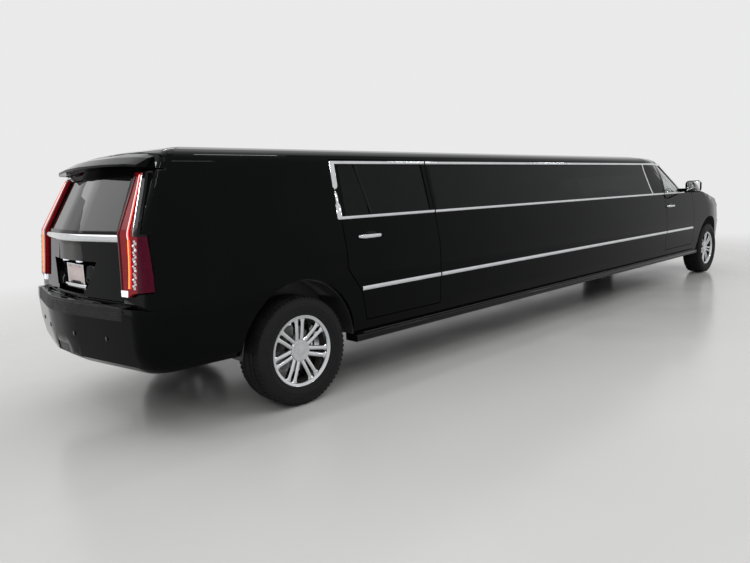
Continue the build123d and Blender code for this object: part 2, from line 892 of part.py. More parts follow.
# Rear axle: tube, hubs and spindles, springs that carry the frame, and the differential
with BuildPart() as rear_axle:
    rod(axle_tube_radius, (0, rear_axle_y, tyre_radius), (790, rear_axle_y, tyre_radius))
    rod(hub_radius, (770, rear_axle_y, tyre_radius), (hub_face_x, rear_axle_y, tyre_radius))
    rod(hub_bore_radius - fit, (770, rear_axle_y, tyre_radius), (spindle_end_x, rear_axle_y, tyre_radius))
    rod(spring_radius, (445, rear_axle_y, tyre_radius), (445, rear_axle_y, 560))
    rod(differential_radius, (0, rear_axle_y, tyre_radius), (differential_half_width, rear_axle_y, tyre_radius))
    mirror(about=Plane.YZ)
    rod(pinion_radius, (0, rear_axle_y - pinion_length, tyre_radius + 20), (0, rear_axle_y, tyre_radius + 20))
save(rear_axle.part, "rear_axle")

# Front suspension: lower and upper arms, struts and the steering rack
with BuildPart() as strut_mount:
    corner_box((480, front_axle_y - 45, 500), (510, front_axle_y + 45, 720))
    corner_box((0, nose_end, 0), (rail_outside, tail_end, floor_bottom), Mode.SUBTRACT)

with BuildPart() as front_suspension:
    for height, thickness in arm_levels:
        with BuildSketch(Plane.XY.offset(height)):
            with BuildLine():
                Polyline(*arm_outline, close=True)
            make_face()
            with Locations((kingpin_x, front_axle_y)):
                Circle(34)
        extrude(amount=thickness)
    rod(strut_radius, (strut_x, front_axle_y, 340), (strut_x, front_axle_y, 700))
    corner_box((480, front_axle_y - 45, 620), (620, front_axle_y + 45, 720))
    add(strut_mount.part)
    rod(steering_rack_radius, (0, front_axle_y - 160, 336), (560, front_axle_y - 160, 336))
    mirror(about=Plane.YZ)
save(front_suspension.part, "front_suspension")

# Steering knuckle with the spindle that carries the wheel
with BuildPart() as knuckle:
    arm_gap_bottom, arm_gap_top = 354 + fit, 512 - fit
    rod(upright_radius, (kingpin_x, front_axle_y, arm_gap_bottom), (kingpin_x, front_axle_y, arm_gap_top))
    rod(hub_radius, (kingpin_x + 40, front_axle_y, tyre_radius), (hub_face_x, front_axle_y, tyre_radius))
    rod(hub_bore_radius - fit, (kingpin_x, front_axle_y, tyre_radius), (spindle_end_x, front_axle_y, tyre_radius))
save_pair(knuckle.part, "knuckle")

# Propeller shaft, with centre bearings on the crossmembers
with BuildPart() as bearings:
    for place in centre_bearing_places:
        y = front_axle_y + place
        rod(centre_bearing_radius, (0, y, shaft_height), (0, y + 60, shaft_height))
    keep_above(rail_bottom + crossmember_size[1])
    mirror(about=Plane.YZ)

with BuildPart() as propshaft:
    rod(shaft_radius, (0, shaft_front, shaft_height), (0, rear_axle_y - pinion_length - fit, shaft_height))
    for place in centre_bearing_places:
        y = front_axle_y + place
        corner_box((-80, y, 430), (80, y + 60, shaft_height))
    add(bearings.part)
save(propshaft.part, "propshaft")

# Engine and gearbox as one plain mass
with BuildPart() as engine_block:
    corner_box((-260, front_axle_y - 260, 480), (260, front_axle_y + 470, 1040))
    corner_box((-150, front_axle_y + 460, 440), (150, shaft_front - fit, 555))
save(engine_block.part, "engine_block")

# Exhaust pipe with its silencer, under the right side
with BuildPart() as exhaust:
    with BuildSketch(Plane.XZ.offset(-(rear_axle_y - 2100))):
        with Locations((exhaust_x, (440 + floor_bottom) / 2)):
            RectangleRounded(2 * silencer_half_width, floor_bottom - 440, silencer_corner)
    extrude(amount=-800)
    rod(exhaust_radius, (exhaust_x, front_axle_y + 1200, exhaust_height), (exhaust_x, tail_y - 290, exhaust_height))
save(exhaust.part, "exhaust")

# Fuel tank between the rails, on the left
with BuildPart() as fuel_tank:
    corner_box((90, rear_axle_y - 2150, rail_bottom + 30), (380, rear_axle_y - 900, floor_bottom - 4))
    fillet(fuel_tank.edges().filter_by(Axis.Y), tank_corner)
save(fuel_tank.part, "fuel_tank")

# Running boards, flat under the sills
with BuildPart() as running_boards:
    corner_box((880, front_axle_y + 560, 372), (half_width, rear_axle_y - 510, sill_bottom))
    fillet(running_boards.edges().filter_by(Axis.Y).group_by(Axis.X)[-1], 18)
    mirror(about=Plane.YZ)
save(running_boards.part, "running_boards")

with BuildPart() as dashboard:
    side_view(dashboard_outline, 0, -dashboard_half_width, dashboard_half_width, Mode.ADD)
save(dashboard.part, "dashboard")

with BuildPart() as front_seats:
    side_view(seat_outline, 0, driver_x - seat_half_width, driver_x + seat_half_width, Mode.ADD)
    mirror(about=Plane.YZ)
save(front_seats.part, "front_seats")

# Wall between the driver and the saloon, with its window opening
with BuildPart() as partition:
    corner_box((0, partition_y, floor_top), (reach, partition_y + partition_thickness, 1830))
    add(cabin, mode=Mode.INTERSECT)
    corner_box((past_middle, partition_y - 10, 1250), (560, partition_y + 60, 1620), Mode.SUBTRACT)
    mirror(about=Plane.YZ)
save(partition.part, "partition")

# Long bench on the left, joined to the rear bench
with BuildPart() as saloon_bench:
    corner_box((420, bench_front, floor_top), (908, bench_rear, bench_seat_top))
    corner_box((760, bench_front, bench_seat_top - 1), (860, bench_rear, 1300))
    corner_box((-908, bench_rear - 560, floor_top), (908, bench_rear, bench_seat_top))
    corner_box((-860, bench_rear - 120, bench_seat_top - 1), (860, bench_rear, bench_back_top))
save(saloon_bench.part, "saloon_bench")

# Bar along the right side of the saloon
with BuildPart() as bar_cabinet:
    corner_box((-906, front_door_rear + 300, floor_top), (-480, rear_door_front - 250, 1180))
save(bar_cabinet.part, "bar_cabinet")

# Steering wheel and its column, on the left
steering_plane = Plane(origin=steering_centre, z_dir=steering_tilt)
with BuildPart() as grip:
    with BuildSketch(Plane.XZ):
        with Locations((steering_wheel_radius, 0)):
            RegularPolygon(steering_grip_radius, 8)
    revolve(axis=Axis.Z)
    with BuildSketch():
        Rectangle(2 * steering_wheel_radius - 10, 44)
    extrude(amount=9, both=True)
    with BuildSketch():
        Circle(62)
    extrude(amount=22, both=True)
    with BuildSketch():
        Circle(30)
    extrude(amount=-200)

with BuildPart() as steering_wheel:
    with Locations(steering_plane):
        add(grip.part)
    add(dashboard.part, mode=Mode.SUBTRACT)
save(steering_wheel.part, "steering_wheel")

save_pair(door(front_door_outline, front_window_outline), "front_door")
save_pair(door(rear_door_outline, rear_window_outline), "rear_door")
save_pair(side_pane(front_window_outline), "front_door_glass")
save_pair(side_pane(rear_window_outline), "rear_door_glass")

# Door mirror: a housing that widens to the rear, its glass recess, and its foot on the door
with BuildPart() as mirror_foot:
    corner_box((850, front_axle_y + 985, window_bottom), (1060, front_axle_y + 1055, 1398))
    add(outer, mode=Mode.SUBTRACT)

with BuildPart() as mirror_housing:
    for back, middle, width, height, corner in mirror_stations:
        with BuildSketch(Plane.XZ.offset(-(front_axle_y + back))):
            with Locations((middle, mirror_height)):
                RectangleRounded(width, height, corner)
    loft()
    with BuildSketch(Plane.XZ.offset(-(front_axle_y + mirror_stations[-1][0]))):
        with Locations((mirror_stations[-1][1], mirror_height)):
            RectangleRounded(mirror_stations[-1][2] - 26, mirror_stations[-1][3] - 26, 40)
    extrude(amount=8, mode=Mode.SUBTRACT)
    add(mirror_foot.part)
save_pair(mirror_housing.part, "mirror")

# Wheel about the X axis: barrel, hub, paired spokes and cap
with BuildPart() as spoke_pair:
    with BuildSketch(Plane.YZ.offset(wheel_face - 50)):
        for side in (-1, 1):
            with BuildLine():
                Polyline(
                    (side * 10, 60),
                    (side * 34, 60),
                    (side * 62, bead_radius - 13),
                    (side * 34, bead_radius - 6),
                    close=True,
                )
            make_face()
    extrude(amount=spoke_depth)

with BuildPart() as wheel:
    half = rim_width / 2
    bead = half - rim_lip
    with BuildSketch(Plane.XZ):
        with BuildLine():
            Polyline(
                (-half, rim_radius),
                (-bead, rim_radius),
                (-bead, bead_radius),
                (bead, bead_radius),
                (bead, rim_radius),
                (half, rim_radius + 4),
                (half + 3, rim_radius - 12),
                (half - 14, bead_radius - barrel_thickness),
                (-half, bead_radius - barrel_thickness),
                close=True,
            )
        make_face()
    revolve(axis=Axis.X)
    with BuildSketch(Plane.YZ.offset(wheel_face - 56)):
        Circle(hub_pad_radius)
        Circle(hub_bore_radius, mode=Mode.SUBTRACT)
        with PolarLocations(lug_circle_radius, lug_count):
            Circle(lug_hole_radius, mode=Mode.SUBTRACT)
    extrude(amount=54)
    for turn in range(spoke_pairs):
        add(spoke_pair.part, rotation=(360 / spoke_pairs * turn, 0, 0))
    with BuildSketch(Plane.YZ.offset(wheel_face - 2)):
        Circle(cap_radius)
    extrude(amount=10)

# Tyre about the X axis, with its bead in the rim
with BuildPart() as tyre:
    bead = rim_width / 2 - rim_lip - fit
    profile = (
        (tread_width / 2, tyre_radius),
        (tyre_width / 2, widest_radius),
        (bead, rim_radius + 5),
        (bead, bead_radius + fit),
    )
    with BuildSketch(Plane.XZ):
        with BuildLine():
            Polyline(*profile, *[(-x, z) for x, z in reversed(profile)], close=True)
        make_face()
    revolve(axis=Axis.X)

for axle, axle_y in (("front", front_axle_y), ("rear", rear_axle_y)):
    with BuildPart(Location((wheel_x, axle_y, tyre_radius))) as placed_rim:
        add(wheel.part)
    save_pair(placed_rim.part, f"{axle}_rim")
    with BuildPart(Location((wheel_x, axle_y, tyre_radius))) as placed_tyre:
        add(tyre.part)
    save_pair(placed_tyre.part, f"{axle}_tyre")
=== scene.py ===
"""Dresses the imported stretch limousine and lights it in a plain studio."""

from __future__ import annotations

import json
import logging
import math
from dataclasses import dataclass, field
from enum import Enum
from typing import Callable, Iterable, Sequence

import bmesh
import bpy
from mathutils import Matrix, Vector
from mathutils.bvhtree import BVHTree


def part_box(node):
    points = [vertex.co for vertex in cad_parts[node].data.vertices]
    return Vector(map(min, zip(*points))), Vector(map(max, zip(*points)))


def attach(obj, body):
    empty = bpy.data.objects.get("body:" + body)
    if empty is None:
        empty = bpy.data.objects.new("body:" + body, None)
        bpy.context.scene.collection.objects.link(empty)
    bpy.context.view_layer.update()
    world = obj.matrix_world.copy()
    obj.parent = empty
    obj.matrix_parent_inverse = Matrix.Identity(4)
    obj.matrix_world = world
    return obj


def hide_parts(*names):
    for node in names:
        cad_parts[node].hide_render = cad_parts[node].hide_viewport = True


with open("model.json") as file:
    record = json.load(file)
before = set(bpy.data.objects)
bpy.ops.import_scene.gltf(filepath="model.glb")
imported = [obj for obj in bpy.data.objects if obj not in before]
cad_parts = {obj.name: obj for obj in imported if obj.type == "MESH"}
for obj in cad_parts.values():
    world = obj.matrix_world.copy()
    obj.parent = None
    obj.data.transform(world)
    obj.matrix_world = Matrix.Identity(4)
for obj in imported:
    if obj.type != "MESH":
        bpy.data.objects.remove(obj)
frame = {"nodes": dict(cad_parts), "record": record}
log = logging.getLogger("limousine")

Colour = tuple[float, float, float]
Triple = tuple[float, float, float]
REAR_AXLE = sum(corner.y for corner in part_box("rear_tyre_left")) / 2
FRONT_AXLE = sum(corner.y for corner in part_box("front_tyre_left")) / 2
RIGHT, LEFT = -1, 1
SIDE_NAMES = {LEFT: "left", RIGHT: "right"}
ROOT = "vehicle_body"
WELD = 2e-5
REARWARD = Matrix.Rotation(-math.pi / 2, 4, "X")
FORWARD = Matrix.Rotation(math.pi / 2, 4, "X")


class Grain(Enum):
    """The fine relief that a finish has."""

    NONE = "none"
    PEEL = "peel"
    PEBBLE = "pebble"
    BRUSHED = "brushed"
    CAST = "cast"
    PILE = "pile"
    WOOD = "wood"


GRAIN_SIZES = {
    Grain.PEEL: (90.0, 0.000012, 2.0),
    Grain.PEBBLE: (420.0, 0.0006, 4.0),
    Grain.BRUSHED: (90.0, 0.0002, 6.0),
    Grain.CAST: (260.0, 0.0005, 5.0),
    Grain.PILE: (900.0, 0.002, 3.0),
    Grain.WOOD: (60.0, 0.0003, 5.0),
}


class Shader:
    """Adds and joins the nodes of one material."""

    def __init__(self, name: str) -> None:
        """Starts an empty material.

        Args:
            name: The material's name.
        """
        self.material = bpy.data.materials.new(name)
        self.material.use_nodes = True
        self.tree = self.material.node_tree
        self.tree.nodes.clear()
        self.output = self.tree.nodes.new("ShaderNodeOutputMaterial")
        self.coordinates = self.tree.nodes.new("ShaderNodeTexCoord").outputs["Object"]

    def add(self, kind: str, **settings: object) -> bpy.types.Node:
        """Adds a node and sets its properties.

        Args:
            kind: The node's class name.
            **settings: Properties of the node.

        Returns:
            The new node.
        """
        node = self.tree.nodes.new(kind)
        for name, value in settings.items():
            setattr(node, name, value)
        return node

    def join(self, source: bpy.types.NodeSocket, target: bpy.types.NodeSocket) -> None:
        """Links an output to an input."""
        self.tree.links.new(source, target)

    def noise(self, scale: float, detail: float = 3.0, stretch: Triple = (1, 1, 1)) -> bpy.types.NodeSocket:
        """Adds noise on Object coordinates.

        Args:
            scale: Waves per metre.
            detail: Octaves.
            stretch: Scale of each axis.

        Returns:
            The noise's value.
        """
        mapping = self.add("ShaderNodeMapping")
        mapping.inputs["Scale"].default_value = stretch
        self.join(self.coordinates, mapping.inputs["Vector"])
        noise = self.add("ShaderNodeTexNoise")
        noise.inputs["Scale"].default_value = scale
        noise.inputs["Detail"].default_value = detail
        self.join(mapping.outputs["Vector"], noise.inputs["Vector"])
        return noise.outputs["Fac"]

    def spread(self, value: bpy.types.NodeSocket, low: float, high: float) -> bpy.types.NodeSocket:
        """Maps the middle of a noise onto a range.

        Args:
            value: The noise.
            low: What 0.3 becomes.
            high: What 0.7 becomes.

        Returns:
            The mapped value.
        """
        node = self.add("ShaderNodeMapRange")
        for name, number in (("From Min", 0.3), ("From Max", 0.7), ("To Min", low), ("To Max", high)):
            node.inputs[name].default_value = number
        self.join(value, node.inputs["Value"])
        return node.outputs["Result"]

    def blend(self, value: bpy.types.NodeSocket, first: Colour, second: Colour) -> bpy.types.NodeSocket:
        """Mixes two colours by a value.

        Args:
            value: The share of the second colour.
            first: The first colour.
            second: The second colour.

        Returns:
            The mixed colour.
        """
        node = self.add("ShaderNodeMix", data_type="RGBA")
        self.join(value, node.inputs[0])
        node.inputs[6].default_value = (*first, 1)
        node.inputs[7].default_value = (*second, 1)
        return node.outputs[2]

    def relief(self, height: bpy.types.NodeSocket, depth: float) -> bpy.types.NodeSocket:
        """Adds a bump.

        Args:
            height: The height, 0 to 1.
            depth: The full height in metres.

        Returns:
            The bumped normal.
        """
        node = self.add("ShaderNodeBump")
        node.inputs["Strength"].default_value = 1.0
        node.inputs["Distance"].default_value = depth
        self.join(height, node.inputs["Height"])
        return node.outputs["Normal"]


@dataclass(frozen=True)
class Finish:
    """A surface finish: its colours, gloss and relief."""

    name: str
    colour: Colour
    second: Colour | None = None
    roughness: tuple[float, float] = (0.4, 0.5)
    metallic: float = 0.0
    specular: float = 0.5
    coat: float = 0.0
    transmission: float = 0.0
    ior: float = 1.5
    glow: float = 0.0
    glow_colour: Colour = (1, 1, 1)
    sheen: float = 0.0
    patch_scale: float = 6.0
    grain: Grain = Grain.NONE
    slot: str = ""

    def material(self) -> bpy.types.Material:
        """Makes the finish's material once.

        Returns:
            The material.
        """
        name = f"finish_{self.name}"
        found = bpy.data.materials.get(name)
        if found is not None:
            return found
        shader = Shader(name)
        surface = shader.add("ShaderNodeBsdfPrincipled")
        sockets = surface.inputs
        sockets["Base Color"].default_value = (*self.colour, 1)
        sockets["Metallic"].default_value = self.metallic
        sockets["Specular IOR Level"].default_value = self.specular
        sockets["Coat Weight"].default_value = self.coat
        sockets["Coat Roughness"].default_value = 0.02
        sockets["Transmission Weight"].default_value = self.transmission
        sockets["IOR"].default_value = self.ior
        sockets["Sheen Weight"].default_value = self.sheen
        if self.glow:
            sockets["Emission Color"].default_value = (*self.glow_colour, 1)
            sockets["Emission Strength"].default_value = self.glow
        patches = shader.noise(self.patch_scale, 3.0)
        if self.second is not None:
            stretch = (8, 0.6, 8) if self.grain is Grain.WOOD else (1, 1, 1)
            tint = shader.noise(self.patch_scale, 5.0, stretch) if stretch != (1, 1, 1) else patches
            shader.join(shader.blend(shader.spread(tint, 0, 1), self.colour, self.second), sockets["Base Color"])
        shader.join(shader.spread(patches, *self.roughness), sockets["Roughness"])
        if self.grain is not Grain.NONE:
            scale, depth, detail = GRAIN_SIZES[self.grain]
            stretch = (1, 0.05, 1) if self.grain is Grain.BRUSHED else (1, 1, 1)
            height = shader.noise(scale, detail, stretch)
            shader.join(shader.relief(height, depth), sockets["Normal"])
        shader.join(surface.outputs["BSDF"], shader.output.inputs["Surface"])
        return shader.material


PAINT = Finish("gloss_black_paint", (0.0016, 0.0018, 0.0020), (0.0022, 0.0024, 0.0027), (0.008, 0.02),
               specular=0.05, patch_scale=2.5, grain=Grain.PEEL, slot="gloss_black_paint")
CHROME = Finish("bright_chrome", (0.68, 0.69, 0.71), (0.60, 0.61, 0.63), (0.03, 0.09), metallic=1.0,
                patch_scale=9, grain=Grain.PEEL, slot="chrome")
REAR_GLASS = Finish("rear_window_glass", (0.012, 0.015, 0.013), (0.017, 0.020, 0.018), (0.0, 0.01),
                    specular=0.34, ior=1.33, transmission=0.6, slot="dark_glass")
DARK_GLASS = Finish("dark_glass", (0.010, 0.012, 0.012), (0.014, 0.016, 0.016), (0.0, 0.01), specular=0.08,
                    ior=1.22, transmission=0.7, slot="dark_glass")
CAB_GLASS = Finish("cab_glass", (0.55, 0.58, 0.57), (0.58, 0.61, 0.60), (0.0, 0.01), transmission=0.97,
                   slot="dark_glass")
CLEAR_GLASS = Finish("windscreen_glass", (0.72, 0.78, 0.76), None, (0.0, 0.01), transmission=0.98,
                     slot="dark_glass")
RUBBER = Finish("tyre_rubber", (0.0085, 0.0085, 0.0090), (0.0130, 0.0126, 0.0122), (0.52, 0.70), specular=0.15,
                patch_scale=14, grain=Grain.CAST, slot="tyre_rubber")
FRAME_PAINT = Finish("frame_black", (0.012, 0.012, 0.012), (0.03, 0.027, 0.024), (0.4, 0.62), patch_scale=8,
                     grain=Grain.CAST, slot="frame_steel")
FLOOR_STEEL = Finish("floor_underseal", (0.02, 0.02, 0.02), (0.035, 0.034, 0.032), (0.6, 0.8), patch_scale=5,
                     grain=Grain.CAST, slot="floor_steel")
BARE_STEEL = Finish("bare_steel", (0.42, 0.41, 0.39), (0.26, 0.25, 0.24), (0.3, 0.5), metallic=1.0,
                    patch_scale=16, grain=Grain.BRUSHED, slot="bare_steel")
CAST_IRON = Finish("cast_iron", (0.09, 0.085, 0.08), (0.16, 0.13, 0.10), (0.55, 0.75), metallic=0.6,
                   patch_scale=18, grain=Grain.CAST, slot="cast_iron")
PLASTIC = Finish("grained_black_plastic", (0.014, 0.014, 0.015), (0.02, 0.02, 0.021), (0.42, 0.55),
                 patch_scale=12, grain=Grain.PEBBLE, slot="black_plastic")
GLOSS_PLASTIC = Finish("gloss_black_plastic", (0.003, 0.003, 0.0035), (0.005, 0.005, 0.0055), (0.04, 0.09),
                       specular=0.15, patch_scale=8, grain=Grain.PEEL, slot="black_plastic")
LEATHER = Finish("black_leather", (0.016, 0.015, 0.015), (0.024, 0.022, 0.021), (0.38, 0.52), patch_scale=16,
                 grain=Grain.PEBBLE, slot="black_leather")
WOOD = Finish("dark_wood", (0.07, 0.024, 0.010), (0.17, 0.065, 0.025), (0.12, 0.2), coat=0.6, patch_scale=5,
              grain=Grain.WOOD, slot="dark_wood")
CARPET = Finish("black_carpet", (0.018, 0.018, 0.02), (0.032, 0.032, 0.035), (0.85, 0.95), sheen=0.25,
                patch_scale=30, grain=Grain.PILE, slot="floor_steel")
LINING = Finish("grey_lining", (0.05, 0.05, 0.053), (0.07, 0.07, 0.073), (0.75, 0.9), sheen=0.3,
                patch_scale=30, grain=Grain.PILE, slot="black_leather")
RED_LENS = Finish("red_lens", (0.19, 0.004, 0.010), (0.11, 0.002, 0.006), (0.04, 0.08), specular=0.12,
                  patch_scale=24, glow=0.08, glow_colour=(0.9, 0.015, 0.02), slot="red_lamp")
RED_REFLECTOR = Finish("red_reflector", (0.070, 0.003, 0.015), (0.048, 0.002, 0.010), (0.08, 0.16),
                       specular=0.06, patch_scale=60, slot="red_lamp")
LIGHT_LINE = Finish("lit_line", (0.9, 0.22, 0.03), (0.9, 0.16, 0.02), (0.2, 0.3), glow=3.2,
                    glow_colour=(1.0, 0.16, 0.025), patch_scale=20, slot="red_lamp")
PINK_LINE = Finish("pale_lit_line", (0.95, 0.5, 0.45), (0.9, 0.42, 0.4), (0.2, 0.3), glow=1.3,
                   glow_colour=(1.0, 0.45, 0.42), patch_scale=20, slot="red_lamp")
WHITE_LENS = Finish("white_lens", (0.85, 0.86, 0.9), (0.78, 0.8, 0.86), (0.08, 0.14), coat=0.5, patch_scale=30,
                    glow=0.55, glow_colour=(0.85, 0.88, 1.0), slot="clear_lamp")
PLATE = Finish("blank_plate", (0.62, 0.50, 0.49), (0.70, 0.60, 0.58), (0.3, 0.4), patch_scale=14, slot="chrome")
SATIN_SILVER = Finish("satin_silver", (0.62, 0.63, 0.64), (0.55, 0.56, 0.57), (0.22, 0.32), metallic=1.0,
                      patch_scale=22, grain=Grain.PEEL, slot="chrome")
BRAKE_STEEL = Finish("brake_steel", (0.33, 0.33, 0.33), (0.22, 0.215, 0.21), (0.28, 0.42), metallic=1.0,
                     patch_scale=30, grain=Grain.BRUSHED, slot="bare_steel")
MIRROR = Finish("mirror_silver", (0.86, 0.87, 0.88), (0.84, 0.85, 0.86), (0.01, 0.02), metallic=1.0,
                patch_scale=4, slot="chrome")
LAMP_CHROME = Finish("smoked_lamp_chrome", (0.20, 0.205, 0.215), (0.13, 0.135, 0.14), (0.05, 0.10), metallic=1.0,
                     coat=0.8, patch_scale=18, slot="clear_lamp")
LIT_RED = Finish("lit_red", (0.75, 0.03, 0.02), (0.62, 0.015, 0.012), (0.10, 0.2), specular=0.2, patch_scale=26,
                 glow=0.42, glow_colour=(1.0, 0.035, 0.028), slot="red_lamp")
GREY_LEATHER = Finish("grey_leather", (0.060, 0.056, 0.052), (0.085, 0.080, 0.075), (0.40, 0.54), patch_scale=16,
                      grain=Grain.PEBBLE, slot="black_leather")
BLUE_LINE = Finish("cool_light_line", (0.7, 0.75, 0.9), (0.6, 0.66, 0.85), (0.3, 0.4), glow=0.4,
                   glow_colour=(0.75, 0.82, 1.0), patch_scale=12, slot="clear_lamp")
DARK_RED = Finish("dark_red_border", (0.050, 0.0015, 0.003), (0.030, 0.001, 0.002), (0.04, 0.08), specular=0.1,
                  patch_scale=30, slot="red_lamp")
PAD_RUBBER = Finish("step_pad_plastic", (0.0035, 0.0035, 0.0036), (0.006, 0.006, 0.0062), (0.45, 0.6),
                    specular=0.2, patch_scale=18, grain=Grain.PEBBLE, slot="black_plastic")


class Form:
    """A mesh being shaped, and the object that it becomes."""

    def __init__(self, mesh: bmesh.types.BMesh | None = None) -> None:
        """Starts empty or from a given mesh.

        Args:
            mesh: A mesh to go on with.
        """
        self.mesh = mesh or bmesh.new()

    def block(self, low: Sequence[float], high: Sequence[float], edge: float = 0.0, segments: int = 2) -> Form:
        """Adds a block with eased edges.

        Args:
            low: Its lowest corner.
            high: Its highest corner.
            edge: The radius of its edges.
            segments: Steps round an edge.

        Returns:
            This form.
        """
        middle = (Vector(low) + Vector(high)) / 2
        size = Vector(high) - Vector(low)
        place = Matrix.Translation(middle) @ Matrix.Diagonal((*size, 1))
        made = bmesh.ops.create_cube(self.mesh, size=1, matrix=place)["verts"]
        if edge:
            edges = list({e for v in made for e in v.link_edges})
            self.ease(edges, edge, segments)
        return self

    def ease(self, edges: Iterable[bmesh.types.BMEdge], radius: float, segments: int = 2) -> Form:
        """Rounds edges.

        Args:
            edges: The edges.
            radius: Their radius.
            segments: Steps round each.

        Returns:
            This form.
        """
        bmesh.ops.bevel(self.mesh, geom=list(edges), offset=radius, offset_type="OFFSET", segments=segments,
                        profile=0.5, affect="EDGES", material=-1, clamp_overlap=True)
        return self

    def disc(self, place: Matrix, radius: float, height: float, segments: int = 24, top: float | None = None,
             edge: float = 0.0) -> Form:
        """Adds a round or a tapered post along the place's Z.

        Args:
            place: Where its middle is.
            radius: Its radius.
            height: Its height.
            segments: Its sides.
            top: Its radius at the top.
            edge: The radius of its rims.

        Returns:
            This form.
        """
        made = bmesh.ops.create_cone(self.mesh, cap_ends=True, segments=segments, radius1=radius,
                                     radius2=radius if top is None else top, depth=height, matrix=place)["verts"]
        if edge:
            rims = [e for e in {e for v in made for e in v.link_edges}
                    if any(len(f.verts) == segments for f in e.link_faces)]
            self.ease(rims, edge)
        return self

    def screws(self, y: float, heights: Sequence[float], facing: Matrix) -> Form:
        """Adds a plate's four screws.

        Args:
            y: Where they stand along the vehicle.
            heights: The heights of the two rows.
            facing: The turn that points them outwards.

        Returns:
            This form.
        """
        for x in (-0.089, 0.089):
            for z in heights:
                self.disc(Matrix.Translation((x, y, z)) @ facing, 0.006, 0.003, 16, edge=0.0008)
        return self

    def ball(self, place: Matrix, radius: float, across: int = 16, down: int = 10) -> Form:
        """Adds a ball.

        Args:
            place: Its middle and its stretch.
            radius: Its radius.
            across: Sides round it.
            down: Rings.

        Returns:
            This form.
        """
        bmesh.ops.create_uvsphere(self.mesh, u_segments=across, v_segments=down, radius=radius, matrix=place)
        return self

    def sweep(self, path: Sequence[Sequence[float]], profile: Sequence[tuple[float, float]],
              up: Vector, closed: bool = False, sizes: Sequence[float] | None = None) -> Form:
        """Carries a closed profile along a path, mitred at its corners.

        Args:
            path: The points that it passes.
            profile: Points across (sideways, upwards).
            up: The direction in which the profile's second number points.
            closed: Whether the path ends where it starts.
            sizes: A scale for each point.

        Returns:
            This form.
        """
        points = [Vector(p) for p in path]
        last = len(points) - 1
        rings: list[list[bmesh.types.BMVert]] = []
        for i, point in enumerate(points):
            before = points[i - 1] if i or closed else None
            after = points[(i + 1) % (last + 1)] if i < last or closed else None
            arriving = (point - before).normalized() if before is not None else (after - point).normalized()
            leaving = (after - point).normalized() if after is not None else arriving
            along = (arriving + leaving).normalized()
            across = up.cross(along).normalized()
            lifted = along.cross(across).normalized()
            mitre = 1 / max(0.35, along.dot(arriving))
            flat = arriving.cross(leaving)
            stretch = mitre if abs(flat.normalized().dot(lifted)) > 0.7 and flat.length > 1e-4 else 1.0
            scale = sizes[i] if sizes else 1.0
            places = [point + across * (u * stretch * scale) + lifted * (v * scale) for u, v in profile]
            if not rings:
                ring = [self.mesh.verts.new(p) for p in places]
                for a, b in zip(ring, ring[1:] + ring[:1]):
                    self.mesh.edges.new((a, b))
            else:
                edges = [self.mesh.edges.get((a, b)) for a, b in zip(rings[-1], rings[-1][1:] + rings[-1][:1])]
                made = bmesh.ops.extrude_edge_only(self.mesh, edges=edges)["geom"]
                fresh = {v for v in made if isinstance(v, bmesh.types.BMVert)}
                ring = []
                for old, place in zip(rings[-1], places):
                    new = next(e.other_vert(old) for e in old.link_edges if e.other_vert(old) in fresh)
                    new.co = place
                    ring.append(new)
            rings.append(ring)
        if closed:
            pair = [self.mesh.edges.get((a, b)) for ring in (rings[0], rings[-1])
                    for a, b in zip(ring, ring[1:] + ring[:1])]
            bmesh.ops.bridge_loops(self.mesh, edges=pair)
        else:
            for ring in (rings[0], rings[-1]):
                edges = [self.mesh.edges.get((a, b)) for a, b in zip(ring, ring[1:] + ring[:1])]
                bmesh.ops.holes_fill(self.mesh, edges=edges, sides=0)
        return self

    def turned(self, line: Sequence[tuple[float, float]], axis_point: Vector, axis: Vector, steps: int = 96) -> Form:
        """Spins a line of (distance along the axis, radius) into a closed round form.

        Args:
            line: The line.
            axis_point: A point of the axis.
            axis: The axis.
            steps: Steps round.

        Returns:
            This form.
        """
        across = axis.orthogonal().normalized()
        made = [self.mesh.verts.new(axis_point + axis * a + across * r) for a, r in line]
        edges = [self.mesh.edges.new(pair) for pair in zip(made, made[1:])]
        bmesh.ops.spin(self.mesh, geom=made + edges, cent=axis_point, axis=axis, angle=math.tau, steps=steps,
                       use_merge=True)
        bmesh.ops.remove_doubles(self.mesh, verts=self.mesh.verts, dist=1e-5)
        return self

    def patch(self, columns: int, rows: int, place: Callable[[float, float], Vector], back: Vector) -> Form:
        """Adds a slab whose face follows a rule.

        Args:
            columns: Faces across.
            rows: Faces along.
            place: Gives a point for two shares from 0 to 1.
            back: From the face to the slab's back.

        Returns:
            This form.
        """
        made = bmesh.ops.create_grid(self.mesh, x_segments=columns, y_segments=rows, size=0.5)["verts"]
        faces = list({face for vert in made for face in vert.link_faces})
        for vert in made:
            vert.co = place(min(1.0, max(0.0, vert.co.x + 0.5)), min(1.0, max(0.0, vert.co.y + 0.5)))
        fresh = bmesh.ops.extrude_face_region(self.mesh, geom=faces, use_keep_orig=True)["geom"]
        bmesh.ops.translate(self.mesh, vec=back, verts=[v for v in fresh if isinstance(v, bmesh.types.BMVert)])
        return self

    def outward(self) -> Form:
        """Merges doubles and turns every face outwards."""
        bmesh.ops.remove_doubles(self.mesh, verts=self.mesh.verts, dist=1e-5)
        bmesh.ops.recalc_face_normals(self.mesh, faces=self.mesh.faces)
        return self

    def flipped(self, side: int) -> Form:
        """Moves the form to a side of the vehicle, when it was built on the left."""
        if side == RIGHT:
            bmesh.ops.scale(self.mesh, vec=(-1, 1, 1), verts=self.mesh.verts)
            bmesh.ops.reverse_faces(self.mesh, faces=self.mesh.faces)
        return self

